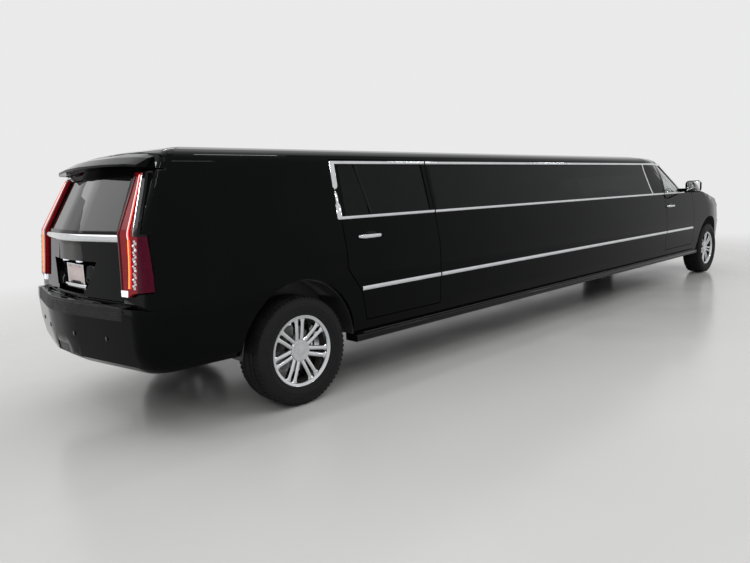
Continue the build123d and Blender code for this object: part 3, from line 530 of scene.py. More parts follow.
    def place(self, name: str, body: str, *finishes: Finish, smooth: float = 35.0,
              replaces: Sequence[str] = ()) -> bpy.types.Object:
        """Makes the object, gives it its finishes and lets it ride on a body.

        Args:
            name: The piece's name.
            body: The CAD body that it rides on.
            *finishes: Its finishes, in the order of its faces' material numbers.
            smooth: Degrees up to which edges are smooth.
            replaces: CAD nodes that it stands for.

        Returns:
            The object.
        """
        data = bpy.data.meshes.new(name)
        self.mesh.to_mesh(data)
        self.mesh.free()
        for face in data.polygons:
            face.use_smooth = True
        data.set_sharp_from_angle(angle=math.radians(smooth))
        made = bpy.data.objects.new(name, data)
        bpy.context.scene.collection.objects.link(made)
        for finish in finishes:
            data.materials.append(finish.material())
        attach(made, body)
        if replaces:
            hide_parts(*replaces)
        log.info("%s: %d faces on %s", name, len(data.polygons), body)
        return made


def body_of(node: str) -> str:
    """Gives the CAD body that a node belongs to."""
    groups = frame["record"]["behaviour"]["bodies"]
    return next(body for body, nodes in groups.items() if node in nodes)


@dataclass
class Skin:
    """The outer surface of the CAD panels, for trim that lies on it."""

    nodes: Sequence[str]
    tree: BVHTree = field(init=False)

    def __post_init__(self) -> None:
        """Collects the panels' meshes."""
        merged = bmesh.new()
        for node in self.nodes:
            merged.from_mesh(frame["nodes"][node].data)
        self.tree = BVHTree.FromBMesh(merged)
        merged.free()

    def cast(self, start: Sequence[float], ahead: Sequence[float]) -> Vector | None:
        """Gives where a ray meets the panels, if it does."""
        return self.tree.ray_cast(Vector(start), Vector(ahead))[0]

    def side(self, y: float, z: float, side: int = LEFT, proud: float = 0.0) -> Vector:
        """Finds the flank at a height, bridging shuts and windows.

        Args:
            y: Place along the vehicle.
            z: Height.
            side: LEFT or RIGHT.
            proud: How far outside the surface.

        Returns:
            The point.
        """
        best = 0.0
        for lift in (-0.009, 0.0, 0.009):
            hit = self.cast((side * 2, y, z + lift), (-side, 0, 0))
            best = max(best, abs(hit.x) if hit is not None else 0.0)
        return Vector((side * (best + proud), y, z))

    def rear(self, x: float, z: float, proud: float = 0.0) -> Vector:
        """Finds the tail at a place across and a height.

        Args:
            x: Place across.
            z: Height.
            proud: How far behind the surface.

        Returns:
            The point.
        """
        hit = self.cast((x, 7, z), (0, -1, 0))
        return Vector((x, (hit.y if hit is not None else 5.0) + proud, z))

    def top(self, x: float, y: float, proud: float = 0.0) -> Vector:
        """Finds the upper surface at a place.

        Args:
            x: Place across.
            y: Place along the vehicle.
            proud: How far above the surface.

        Returns:
            The point.
        """
        hit = self.cast((x, y, 3), (0, 0, -1))
        return Vector((x, y, (hit.z if hit is not None else 1.0) + proud))

    def front(self, x: float, z: float, proud: float = 0.0) -> Vector:
        """Finds the nose at a place across and a height.

        Args:
            x: Place across.
            z: Height.
            proud: How far before the surface.

        Returns:
            The point.
        """
        hit = self.cast((x, -7, z), (0, 1, 0))
        return Vector((x, (hit.y if hit is not None else -5.0) - proud, z))


@dataclass(frozen=True)
class Dressing:
    """How one CAD node is dressed."""

    node: str
    finish: Finish
    lining: Finish | None = None
    lining_side: Triple = (0, 0, 0)
    edge: float = 0.0
    smooth: float = 32.0
    flat_angle: float = 0.4
    lining_limit: float = 0.3
    edge_angle: float = 40.0
    normal_weight: int = 60

    def make(self) -> bpy.types.Object:
        """Merges a copy of the node's mesh and gives it its finish.

        Returns:
            The dressed copy.
        """
        mesh = bmesh.new()
        mesh.from_mesh(frame["nodes"][self.node].data)
        bmesh.ops.remove_doubles(mesh, verts=mesh.verts, dist=WELD)
        bmesh.ops.dissolve_degenerate(mesh, edges=mesh.edges, dist=1e-6)
        bmesh.ops.dissolve_limit(mesh, angle_limit=math.radians(self.flat_angle), verts=mesh.verts,
                                 edges=mesh.edges)
        if self.lining is not None:
            inward = Vector(self.lining_side)
            for face in mesh.faces:
                if face.normal.dot(inward) > self.lining_limit:
                    face.material_index = 1
        finishes = [self.finish] + ([self.lining] if self.lining else [])
        made = Form(mesh).place("dressed_" + self.node, body_of(self.node), *finishes, smooth=self.smooth,
                                replaces=[self.node])
        if self.edge:
            ease = made.modifiers.new("eased_edges", "BEVEL")
            ease.width = self.edge
            ease.segments = 2
            ease.limit_method = "ANGLE"
            ease.angle_limit = math.radians(self.edge_angle)
            ease.harden_normals = True
        even = made.modifiers.new("even_normals", "WEIGHTED_NORMAL")
        even.keep_sharp = True
        even.weight = self.normal_weight
        return made


def dressings() -> list[Dressing]:
    """Lists the CAD nodes that keep their shape.

    Returns:
        One dressing for each.
    """
    rows = [
        Dressing("roof_panel", PAINT, LINING, (0, 0, -1)),
        Dressing("hood", PAINT, FRAME_PAINT, (0, 0, -1)),
        Dressing("front_bumper", PAINT, edge=0.003),
        Dressing("grille", CHROME),
        Dressing("headlamps", LAMP_CHROME),
        Dressing("rear_bumper", PAINT),
        Dressing("tailgate", PAINT, PLASTIC, (0, -1, 0)),
        Dressing("tailgate_glass", REAR_GLASS),
        Dressing("rear_spoiler", PAINT, edge=0.003),
        Dressing("windscreen", CLEAR_GLASS),
        Dressing("side_glass", DARK_GLASS),
        Dressing("cowl_and_firewall", PLASTIC, edge=0.002),
        Dressing("chassis_frame", FRAME_PAINT, edge=0.002),
        Dressing("floor_pan", FLOOR_STEEL, CARPET, (0, 0, 1)),
        Dressing("wheel_liners", PLASTIC),
        Dressing("rear_axle", CAST_IRON),
        Dressing("front_suspension", CAST_IRON, edge=0.002),
        Dressing("propshaft", BARE_STEEL),
        Dressing("engine_block", CAST_IRON, edge=0.004),
        Dressing("exhaust", BARE_STEEL),
        Dressing("fuel_tank", PLASTIC, edge=0.006),
        Dressing("running_boards", GLOSS_PLASTIC, edge=0.004),
        Dressing("dashboard", PLASTIC, edge=0.008),
        Dressing("steering_wheel", LEATHER),
        Dressing("partition", LEATHER, edge=0.006),
        Dressing("bar_cabinet", WOOD, edge=0.004),
    ]
    for side, name in SIDE_NAMES.items():
        inward = (-side, 0, 0)
        rows += [
            Dressing(f"body_side_{name}", PAINT, LINING, inward),
            Dressing(f"fender_{name}", PAINT, FRAME_PAINT, inward),
            Dressing(f"front_door_{name}", PAINT, PLASTIC, inward),
            Dressing(f"rear_door_{name}", PAINT, PLASTIC, inward),
            Dressing(f"front_door_glass_{name}", CAB_GLASS),
            Dressing(f"rear_door_glass_{name}", DARK_GLASS),
            Dressing(f"mirror_{name}", PAINT, edge=0.006),
            Dressing(f"knuckle_{name}", CAST_IRON),
        ]
    return rows


STRIP = [(-0.5, 0.0), (-0.42, 0.55), (-0.2, 0.9), (0.2, 1.0), (0.45, 0.6), (0.5, 0.0)]


def oval(wide: float, tall: float, sides: int) -> list[tuple[float, float]]:
    """Gives a round section.

    Args:
        wide: Half its width.
        tall: Half its height.
        sides: Its sides.

    Returns:
        The closed section.
    """
    return [(wide * math.cos(a), tall * math.sin(a)) for a in (math.tau * k / sides for k in range(sides))]


def strip_profile(width: float, height: float, sunk: float = 0.004) -> list[tuple[float, float]]:
    """Gives the section of a chrome strip, with its back sunk into the panel.

    Args:
        width: Its width.
        height: How proud it stands.
        sunk: How deep its back lies.

    Returns:
        The closed section.
    """
    front = [(u * width, v * height) for u, v in STRIP]
    return front + [(0.5 * width, -sunk), (-0.5 * width, -sunk)]


@dataclass
class BrightTrim:
    """The chrome round the windows and along the doors."""

    skin: Skin
    band_bottom: float = 1.342
    band_top: float = 1.763
    band_width: float = 0.024
    band_height: float = 0.006
    post_width: float = 0.046
    rear_foot: float = REAR_AXLE - 0.428
    rear_head: float = REAR_AXLE - 0.462
    rear_door_shut: float = REAR_AXLE - 1.530
    front_door_shut: float = FRONT_AXLE + 1.782
    post_foot: float = REAR_AXLE - 6.215
    post_head: float = REAR_AXLE - 6.080
    moulding_height: float = 0.790
    moulding_width: float = 0.035
    moulding_proud: float = 0.008
    moulding_rear: float = REAR_AXLE - 0.583
    moulding_front: float = FRONT_AXLE + 0.760
    gap: float = 0.004
    body_gap: float = 0.0125

    def run(self, side: int, points: Sequence[tuple[float, float]], step: float = 0.10) -> list[Vector]:
        """Lays a line of (y, z) points on the flank.

        Args:
            side: LEFT or RIGHT.
            points: The line's corners.
            step: The longest distance between points.

        Returns:
            Points on the panel.
        """
        line = [Vector(points[0])]
        for a, b in zip(points, points[1:]):
            a, b = Vector(a), Vector(b)
            count = max(1, math.ceil((b - a).length / step))
            line += [a.lerp(b, (i + 1) / count) for i in range(count)]
        return [self.skin.side(y, z, side, 0.0005) for y, z in line]

    def strip(self, name: str, body: str, side: int, points: Sequence[tuple[float, float]],
              width: float, height: float) -> None:
        """Makes one strip.

        Args:
            name: The piece's name.
            body: What it rides on.
            side: LEFT or RIGHT.
            points: Its corners as (y, z).
            width: Its width.
            height: How proud it stands.
        """
        form = Form().sweep(self.run(side, points), strip_profile(width, height), Vector((side, 0, 0)))
        form.outward().place(f"{name}_{SIDE_NAMES[side]}", body, CHROME)

    def build(self) -> None:
        """Makes every strip of both sides."""
        bottom, top, wide = self.band_bottom, self.band_top, self.band_width
        height, level = self.band_height, self.moulding_height
        rear_shut, front_shut = self.rear_door_shut + self.gap, self.front_door_shut - self.gap
        rear_panel, front_panel = self.rear_door_shut - self.body_gap, self.front_door_shut + self.body_gap
        for side, name in SIDE_NAMES.items():
            rear_door, front_door = f"rear_door_{name}", f"front_door_{name}"
            for part, body, points, width, proud in (
                ("rear_window_trim", rear_door, [(rear_shut, top), (self.rear_head, top), (self.rear_foot, bottom),
                                                 (rear_shut, bottom)], wide, height),
                ("rear_window_post", rear_door, [(self.rear_head - 0.004, top + 0.006),
                                                 (self.rear_foot - 0.004, bottom - 0.006)],
                 self.post_width, height + 0.001),
                ("saloon_trim_top", ROOT, [(front_panel, top), (rear_panel, top)], wide, height),
                ("saloon_trim_bottom", ROOT, [(front_panel, bottom), (rear_panel, bottom)], wide, height),
                ("saloon_front_post", ROOT, [(self.post_head, top), (self.post_foot, bottom)], wide, height),
                ("cab_trim_top", front_door, [(FRONT_AXLE + 1.42, top - 0.012), (front_shut, top)], wide, height),
                ("cab_trim_bottom", front_door, [(FRONT_AXLE + 1.02, bottom), (front_shut, bottom)], wide, height),
                ("rear_door_moulding", rear_door, [(rear_shut, level), (self.moulding_rear, level)],
                 self.moulding_width, self.moulding_proud),
                ("body_moulding", ROOT, [(front_panel, level), (rear_panel, level)],
                 self.moulding_width, self.moulding_proud),
                ("front_door_moulding", front_door, [(self.moulding_front, level), (front_shut, level)],
                 self.moulding_width, self.moulding_proud),
            ):
                self.strip(part, body, side, points, width, proud)


@dataclass
class DoorHandle:
    """A chrome pull with its cup."""

    skin: Skin
    height: float = 1.190
    length: float = 0.235
    reach: float = 0.034
    thickness: float = 0.030
    shape: Sequence[tuple[float, float, float]] = (
        (0.0, 0.004, 0.75), (0.06, 0.62, 0.95), (0.16, 0.92, 1.0), (0.32, 1.0, 1.0), (0.68, 1.0, 1.0),
        (0.84, 0.92, 1.0), (0.94, 0.62, 0.95), (1.0, 0.004, 0.75))

    def build(self, side: int, body: str, rear_end: float) -> None:
        """Makes one handle.

        Args:
            side: LEFT or RIGHT.
            body: The door.
            rear_end: Where its rear end is along the vehicle.
        """
        base = self.skin.side(rear_end - self.length / 2, self.height, side)
        path = [Vector((base.x + side * self.reach * lift, rear_end - self.length * share, self.height))
                for share, lift, _ in self.shape]
        profile = oval(0.5 * self.thickness, 0.28 * self.thickness, 16)
        sizes = [size for _, _, size in self.shape]
        Form().sweep(path, profile, Vector((side, 0, 0)), sizes=sizes).outward().place(
            f"handle_{body}", body, CHROME)
        cup = Form()
        place = Matrix.Translation(base) @ Matrix.Rotation(math.pi / 2, 4, "Y") @ Matrix.Diagonal((0.7, 1.45, 1, 1))
        cup.disc(place, 0.052, 0.006, 32, edge=0.002)
        cup.outward().place(f"handle_cup_{body}", body, GLOSS_PLASTIC)


@dataclass
class TyreForm:
    """A road tyre with a block tread, turned about its axle."""

    node: str
    middle: Vector
    pitches: int = 66
    crown: float = 0.3975
    depth: float = 0.0075
    lanes: Sequence[tuple[float, float, float, float]] = (
        (-0.118, -0.079, 0.62, 0.10), (-0.069, -0.036, 0.86, 0.55), (-0.027, 0.027, 0.93, -0.35),
        (0.036, 0.069, 0.86, -0.55), (0.079, 0.118, 0.62, -0.10))
    wall: Sequence[tuple[float, float]] = (
        (0.0, 0.3975), (0.060, 0.3970), (0.100, 0.3935), (0.117, 0.3850), (0.1275, 0.3720), (0.1340, 0.3560),
        (0.1372, 0.3400), (0.1376, 0.3260), (0.1350, 0.3235), (0.1350, 0.3150), (0.1366, 0.3125), (0.1352, 0.3010),
        (0.1336, 0.2990), (0.1336, 0.2960), (0.1318, 0.2940), (0.1270, 0.2800), (0.1262, 0.2720), (0.1220, 0.2655),
        (0.1160, 0.2640), (0.1055, 0.2636), (0.1055, 0.2464), (0.0880, 0.2464), (0.0850, 0.2620), (0.1050, 0.3000),
        (0.1180, 0.3360), (0.1050, 0.3700), (0.0800, 0.3840), (0.0, 0.3870))

    def radius_at(self, across: float) -> float:
        """Gives the carcass radius under the tread.

        Args:
            across: The distance from the tyre's middle.

        Returns:
            The radius.
        """
        share = min(1.0, abs(across) / 0.118)
        return self.crown - 0.0125 * share ** 3

    def tread(self, form: Form) -> None:
        """Adds the tread blocks.

        Args:
            form: The tyre's form.
        """
        pitch = math.tau / self.pitches
        for number in range(self.pitches):
            for low, high, share, lean in self.lanes:
                made = bmesh.ops.create_cube(form.mesh, size=1)["verts"]
                for vert in made:
                    across = low + (high - low) * (vert.co.x + 0.5)
                    turn = pitch * (number + vert.co.y * share + lean * vert.co.x)
                    out = self.radius_at(across) + (self.depth if vert.co.z > 0 else -0.002)
                    vert.co = self.middle + Vector((across, out * math.cos(turn), out * math.sin(turn)))

    def build(self) -> None:
        """Makes the tyre in place of the plain one."""
        wall = list(self.wall)
        loop = wall + [(-a, r) for a, r in reversed(wall)][1:]
        form = Form().turned(loop, self.middle, Vector((1, 0, 0)), 128)
        form.outward()
        self.tread(form)
        bmesh.ops.recalc_face_normals(form.mesh, faces=form.mesh.faces)
        form.place(f"treaded_{self.node}", body_of(self.node), RUBBER, smooth=32, replaces=[self.node])


@dataclass
class Rim:
    """A chrome rim with seven pairs of spokes that flare into its edge."""

    node: str
    side: int
    middle: Vector
    pairs: int = 7
    hub_radius: float = 0.066
    edge_radius: float = 0.2370
    hub_apart: float = 0.0212
    edge_apart: float = 0.0295
    width: float = 0.0300
    depth: float = 0.030
    crown: float = 0.0075
    face: float = 0.0840
    dish: float = 0.016
    flare: float = 0.024
    barrel: Sequence[tuple[float, float]] = (
        (0.1145, 0.2620), (0.1150, 0.2590), (0.1120, 0.2560), (0.1095, 0.2400), (0.1040, 0.2360), (0.0900, 0.2335),
        (0.0300, 0.2320), (0.0, 0.2250), (-0.0700, 0.2330), (-0.1020, 0.2360), (-0.1100, 0.2500), (-0.1140, 0.2620),
        (-0.1060, 0.2620), (-0.1040, 0.2465), (-0.0700, 0.2440), (-0.0200, 0.2360), (0.0300, 0.2420),
        (0.1040, 0.2465), (0.1060, 0.2620), (0.1145, 0.2620))

    def spoke(self, form: Form, turn: float, hand: int) -> None:
        """Adds one spoke of a pair.

        Args:
            form: The rim's form.
            turn: The pair's angle.
            hand: Which of the two.
        """
        ahead = Vector((0, math.cos(turn), math.sin(turn)))
        across = Vector((0, -math.sin(turn), math.cos(turn)))
        out = Vector((self.side, 0, 0))

        def place(u: float, v: float) -> Vector:
            """Gives a point of the spoke's face."""
            radius = self.hub_radius + (self.edge_radius + 0.003 - self.hub_radius) * v
            apart = self.hub_apart + (self.edge_apart - self.hub_apart) * v ** 1.5
            flare = self.flare * max(0.0, (v - 0.80) / 0.20) ** 2
            root = 0.010 * max(0.0, (0.15 - v) / 0.15) ** 2
            away = (u - 0.5) * self.width
            away += flare * max(0.0, u - 0.5) * 2 + (flare * 0.55 + root) * min(0.0, u - 0.5) * 2
            crown = self.crown * (1 - abs(2 * u - 1) ** 2.6)
            face = self.face + self.dish * v + 0.004 * math.sin(math.pi * v)
            return self.middle + out * (face - self.crown + crown) + ahead * radius + across * (hand * (apart + away))

        form.patch(8, 12, place, out * -self.depth)

    def build(self) -> None:
        """Makes the rim in place of the plain one."""
        out = Vector((self.side, 0, 0))
        form = Form().turned(self.barrel, self.middle, out, 120)
        form.turned([(0.050, 0.0), (0.050, 0.088), (0.074, 0.086), (0.083, 0.078), (0.0865, 0.064), (0.0865, 0.0)],
                    self.middle, out, 72)
        for pair in range(self.pairs):
            turn = math.pi / 2 + math.tau * pair / self.pairs
            for hand in (-1, 1):
                self.spoke(form, turn, hand)
        form.outward().place(f"spoked_{self.node}", body_of(self.node), CHROME, smooth=38, replaces=[self.node])
        # Painted shade: a thin black sheet just inside the chrome barrel darkens the wheel's inside, seen between the
        # spokes.
        dark = Form().turned([(0.0785, 0.2310), (0.0300, 0.2305), (-0.0650, 0.2310), (-0.0650, 0.2300),
                              (0.0300, 0.2290), (0.0785, 0.2300), (0.0785, 0.2310)], self.middle, out, 96)
        dark.outward().place(f"barrel_painted_shade_{self.node}", body_of(self.node), FRAME_PAINT)


@dataclass
class WheelDetail:
    """The cap, valve, brake disc and calliper of one wheel."""

    end: str
    side: int
    middle: Vector
    face: float = 0.0868
    cap_radius: float = 0.081
    disc_radius: float = 0.172
    valve_radius: float = 0.2225
    valve_turn: float = 0.35
    calliper_radius: float = 0.168
    calliper_lean: float = 0.5
    calliper_blocks: int = 5
    calliper_step: float = 0.16

    def build(self) -> None:
        """Makes every piece."""
        name = SIDE_NAMES[self.side]
        wheel, tag = f"{self.end}_wheel_{name}", f"{self.end}_{name}"
        out = Vector((self.side, 0, 0))
        cap = Form().turned([(0.0, 0.0), (0.0060, 0.0), (0.0056, 0.040), (0.0044, 0.062), (0.0050, 0.065),
                             (0.0044, self.cap_radius - 0.004), (0.0, self.cap_radius)],
                            self.middle + out * self.face, out, 64)
        cap.outward().place(f"wheel_cap_{tag}", wheel, SATIN_SILVER)
        disc = Form().turned([(-0.030, 0.0765), (-0.030, self.disc_radius), (-0.021, self.disc_radius),
                              (-0.021, 0.150), (-0.016, 0.150), (-0.016, self.disc_radius),
                              (-0.007, self.disc_radius), (-0.007, 0.096), (0.018, 0.094), (0.018, 0.0765),
                              (-0.030, 0.0765)], self.middle, out, 72)
        disc.outward().place(f"brake_disc_{tag}", wheel, BRAKE_STEEL)
        valve = Form()
        spot = self.middle + Vector((self.side * 0.076, self.valve_radius * math.cos(self.valve_turn),
                                     self.valve_radius * math.sin(self.valve_turn)))
        valve.disc(Matrix.Translation(spot) @ Matrix.Rotation(math.pi / 2 * self.side, 4, "Y"), 0.0045, 0.026, 12,
                   top=0.003, edge=0.0006)
        valve.outward().place(f"valve_{tag}", wheel, GLOSS_PLASTIC)
        holder = f"steering_knuckle_{name}" if self.end == "front" else ROOT
        calliper = Form()
        lean = self.calliper_lean if self.end == "rear" else math.pi - self.calliper_lean
        for k in range(self.calliper_blocks):
            turn = lean + (k - self.calliper_blocks // 2) * self.calliper_step
            low, high = Vector((-0.052, -0.022, -0.030)), Vector((0.012, 0.022, 0.034))
            spot = self.middle + Vector((0, math.cos(turn), math.sin(turn))) * self.calliper_radius
            place = Matrix.Translation(spot) @ Matrix.Rotation(turn - math.pi / 2, 4, "X")
            before = len(calliper.mesh.verts)
            calliper.block(low, high, 0.006, 2)
            calliper.mesh.verts.ensure_lookup_table()
            fresh = calliper.mesh.verts[before:]
            bmesh.ops.transform(calliper.mesh, matrix=place @ Matrix.Diagonal((self.side, 1, 1, 1)), verts=fresh)
        calliper.outward().place(f"calliper_{tag}", holder, CAST_IRON)


@dataclass
class TailLamps:
    """The lit tail lamps, their lines, facets and reflectors."""

    skin: Skin
    reflector_edge: float = 0.897
    belt: float = 1.318
    dark_edge: float = 0.862
    white_top: float = 0.990
    white_edge: float = 0.797
    facet_count: int = 22
    facet_top: float = 1.288
    facet_pitch: float = 0.0135
    facet_reach: float = 0.872
    dark_lean: Triple = (0.382, 0, 0.168)
    line: Sequence[tuple[float, float]] = ((0.672, 1.690), (0.706, 1.598), (0.755, 1.450), (0.803, 1.299),
                                           (0.810, 1.190), (0.812, 1.096), (0.810, 1.005))
    inner_line: Sequence[tuple[float, float]] = ((0.626, 1.696), (0.662, 1.500), (0.699, 1.304), (0.731, 1.004),
                                                 (0.733, 0.994))
    outer_line: Sequence[tuple[float, float]] = ((0.692, 1.700), (0.736, 1.600), (0.824, 1.400), (0.858, 1.322))

    def lens(self) -> None:
        """Splits the lamp solids into red lens, white lens, side reflector and dark outer part."""
        mesh = bmesh.new()
        mesh.from_mesh(frame["nodes"]["tail_lamps"].data)
        bmesh.ops.remove_doubles(mesh, verts=mesh.verts, dist=WELD)
        cuts = [((s * edge, 0, 0), (1, 0, 0)) for edge in (self.reflector_edge, self.white_edge)
                for s in (LEFT, RIGHT)]
        cuts += [((0, 0, height), (0, 0, 1)) for height in (self.white_top, self.belt)]
        lean = Vector(self.dark_lean).normalized()
        cuts += [((s * self.dark_edge, 0, self.belt), (s * lean.x, 0, lean.z)) for s in (LEFT, RIGHT)]
        for point, normal in cuts:
            geometry = list(mesh.verts) + list(mesh.edges) + list(mesh.faces)
            bmesh.ops.bisect_plane(mesh, geom=geometry, plane_co=point, plane_no=normal)
        red, reflector, white, dark = range(4)
        for face in mesh.faces:
            middle = face.calc_center_median()
            beyond = (abs(middle.x) - self.dark_edge) * lean.x + (middle.z - self.belt) * lean.z > 0
            if middle.z > self.belt:
                face.material_index = dark if beyond else red
            elif abs(middle.x) > self.reflector_edge:
                face.material_index = reflector
            elif middle.z < self.white_top and abs(middle.x) < self.white_edge:
                face.material_index = white
        Form(mesh).place("dressed_tail_lamps", ROOT, RED_LENS, RED_REFLECTOR, WHITE_LENS,
                         GLOSS_PLASTIC, smooth=30, replaces=["tail_lamps"])

    def strip(self, name: str, side: int, points: Sequence[tuple[float, float]], width: float, height: float,
              finish: Finish) -> None:
        """Lays a strip on the lamp.

        Args:
            name: The piece's name.
            side: LEFT or RIGHT.
            points: Places across and heights.
            width: Its width.
            height: How proud it stands.
            finish: Its finish.
        """
        path: list[Vector] = []
        for (xa, za), (xb, zb) in zip(points, points[1:]):
            count = max(1, math.ceil(math.hypot(xb - xa, zb - za) / 0.03))
            for k in range(count):
                share = k / count
                path.append(self.skin.rear(side * (xa + (xb - xa) * share), za + (zb - za) * share))
        path.append(self.skin.rear(side * points[-1][0], points[-1][1]))
        form = Form().sweep(path, strip_profile(width, height, 0.002), Vector((0, 1, 0)))
        form.outward().place(f"{name}_{SIDE_NAMES[side]}", ROOT, finish)

    def facets(self, side: int) -> None:
        """Adds the cut chrome between the lens and the side reflector."""
        form = Form()
        for k in range(self.facet_count):
            height = self.facet_top - self.facet_pitch * k
            spot = self.skin.rear(side * (self.facet_reach + 0.012 * math.sin(k * 2.1)), height, 0.002)
            turn = Matrix.Rotation(side * (0.5 + 0.25 * math.sin(k * 1.7)), 4, "Y")
            lean = Matrix.Rotation(side * -0.5, 4, "Z") @ Matrix.Rotation(0.25 * math.cos(k * 2.3), 4, "X")
            form.disc(Matrix.Translation(spot) @ turn @ lean @ REARWARD, 0.015, 0.010, 4, top=0.004)
        form.outward().place(f"lamp_facets_{SIDE_NAMES[side]}", ROOT, CHROME, smooth=10)

    def build(self) -> None:
        """Makes both lamps."""
        self.lens()
        top = [p for p in self.line if p[1] > 1.29]
        low = [p for p in self.line if p[1] < 1.30]
        for side in (LEFT, RIGHT):
            self.strip("lamp_glow_top", side, top, 0.044, 0.0012, LIT_RED)
            self.strip("lamp_glow_low", side, low, 0.056, 0.0012, LIT_RED)
            self.strip("lamp_line_top", side, top, 0.013, 0.004, PINK_LINE)
            self.strip("lamp_line_low", side, low, 0.014, 0.004, LIGHT_LINE)
            self.strip("lamp_inner_border", side, self.inner_line, 0.026, 0.004, DARK_RED)
            self.strip("lamp_edge", side, self.outer_line, 0.005, 0.003, CHROME)
            self.facets(side)


@dataclass
class RearEnd:
    """What stands on the tailgate and the rear bumper."""

    skin: Skin
    bar_height: float = 1.302
    bar_reach: float = 0.676
    plate: tuple[float, float] = (0.304, 0.140)
    plate_height: float = 1.043
    pad_reach: float = 0.792
    pad_top: float = 0.900
    pad_height: float = 0.092
    pad_ribs: int = 6
    bar_section: Sequence[tuple[float, float]] = (
        (-0.5, 0.0), (-0.47, 0.35), (-0.36, 0.75), (0.0, 1.0), (0.36, 0.75), (0.47, 0.35), (0.5, 0.0))
    bar_size: tuple[float, float] = (0.050, 0.014)
    sensor_places: Sequence[float] = (-0.600, -0.235, 0.235, 0.600)
    sensor_height: float = 0.680
    grip_height: float = 0.964
    grip_line: float = 0.985
    cover_low: tuple[float, float] = (-0.099, 0.480)
    cover_size: tuple[float, float] = (0.198, 0.104)

    def across(self, reach: float, height: float, proud: float = 0.0005, count: int = 24) -> list[Vector]:
        """Gives points across the tail at one height.

        Args:
            reach: The distance to each side.
            height: The height.
            proud: How far off the panel.
            count: Spans.

        Returns:
            The points.
        """
        return [self.skin.rear(-reach + 2 * reach * k / count, height, proud) for k in range(count + 1)]

    def chrome_bar(self) -> None:
        """Adds the bright bar under the window."""
        path = self.across(self.bar_reach, self.bar_height)
        wide, proud = self.bar_size
        profile = [(u * wide, v * proud) for u, v in self.bar_section] + [(wide / 2, -0.004), (-wide / 2, -0.004)]
        Form().sweep(path, profile, Vector((0, 1, 0))).outward().place("tailgate_bar", "tailgate", CHROME)

    def plate_piece(self) -> None:
        """Adds the blank plate in its frame, with its lamps."""
        wide, tall = self.plate
        back = self.skin.rear(0, self.plate_height).y
        low, high = self.plate_height - tall / 2, self.plate_height + tall / 2
        Form().block((-wide / 2, back - 0.001, low), (wide / 2, back + 0.004, high), 0.0016, 2).outward().place(
            "rear_plate", "tailgate", PLATE)
        rim = Form()
        path = [(-wide / 2, low), (wide / 2, low), (wide / 2, high), (-wide / 2, high)]
        rim.sweep([Vector((x, back + 0.003, z)) for x, z in path], strip_profile(0.010, 0.004, 0.003),
                  Vector((0, 1, 0)), closed=True)
        rim.outward().place("rear_plate_frame", "tailgate", CHROME)
        screws = Form().screws(back + 0.005, (low + 0.014, high - 0.014), REARWARD)
        screws.outward().place("rear_plate_screws", "tailgate", BARE_STEEL)
        lights = Form()
        for x in (-0.13, 0.13):
            lights.block((x - 0.03, back + 0.006, 1.134), (x + 0.03, back + 0.030, 1.1485), 0.003, 2)
        lights.outward().place("plate_lamps", "tailgate", WHITE_LENS)

    def grip(self) -> None:
        """Adds the pull under the plate."""
        path = [self.skin.rear(x, self.grip_line) for x in (-0.2, -0.1, 0.0, 0.1, 0.2)]
        path = [Vector((p.x, p.y + 0.012, self.grip_height)) for p in path]
        form = Form().sweep(path, oval(0.017, 0.009, 14), Vector((0, 1, 0)))
        form.outward().place("tailgate_pull", "tailgate", CHROME)

    def pad_place(self, u: float, v: float) -> Vector:
        """Gives a point of the step pad.

        Args:
            u: 0 to 1 across.
            v: 0 at its upper edge, 1 at its lower edge.

        Returns:
            The point.
        """
        x = self.pad_reach * (2 * u - 1)
        ribs = 0.0018 * (0.5 + 0.5 * math.cos(v * 2 * self.pad_ribs * math.pi))
        end = min(1.0, (1 - abs(2 * u - 1)) * 30)
        return self.skin.rear(x, self.pad_top - self.pad_height * v, (0.0015 + ribs) * end)

    def cover_place(self, u: float, v: float) -> Vector:
        """Gives a point of the hitch cover.

        Args:
            u: 0 to 1 across.
            v: 0 to 1 upwards.

        Returns:
            The point.
        """
        rim = min(u, 1 - u, v, 1 - v)
        (x, z), (wide, tall) = self.cover_low, self.cover_size
        return self.skin.rear(x + wide * u, z + tall * v, 0.008 if rim > 0.02 else 0.004)

    def bumper(self) -> None:
        """Adds the step pad, sensors and hitch cover."""
        Form().patch(90, 48, self.pad_place, Vector((0, -0.006, 0))).outward().place(
            "bumper_step_pad", ROOT, PAD_RUBBER, smooth=50)
        sensors = Form()
        for x in self.sensor_places:
            spot = self.skin.rear(x, self.sensor_height, 0.0005)
            sensors.disc(Matrix.Translation(spot) @ REARWARD, 0.0155, 0.006, 24, edge=0.0012)
        sensors.outward().place("parking_sensors", ROOT, GLOSS_PLASTIC)
        cover = Form().patch(24, 16, self.cover_place, Vector((0, -0.004, 0)))
        cover.outward().place("hitch_cover", ROOT, PLASTIC)

    def build(self) -> None:
        """Makes every piece."""
        self.chrome_bar()
        self.plate_piece()
        self.grip()
        self.bumper()


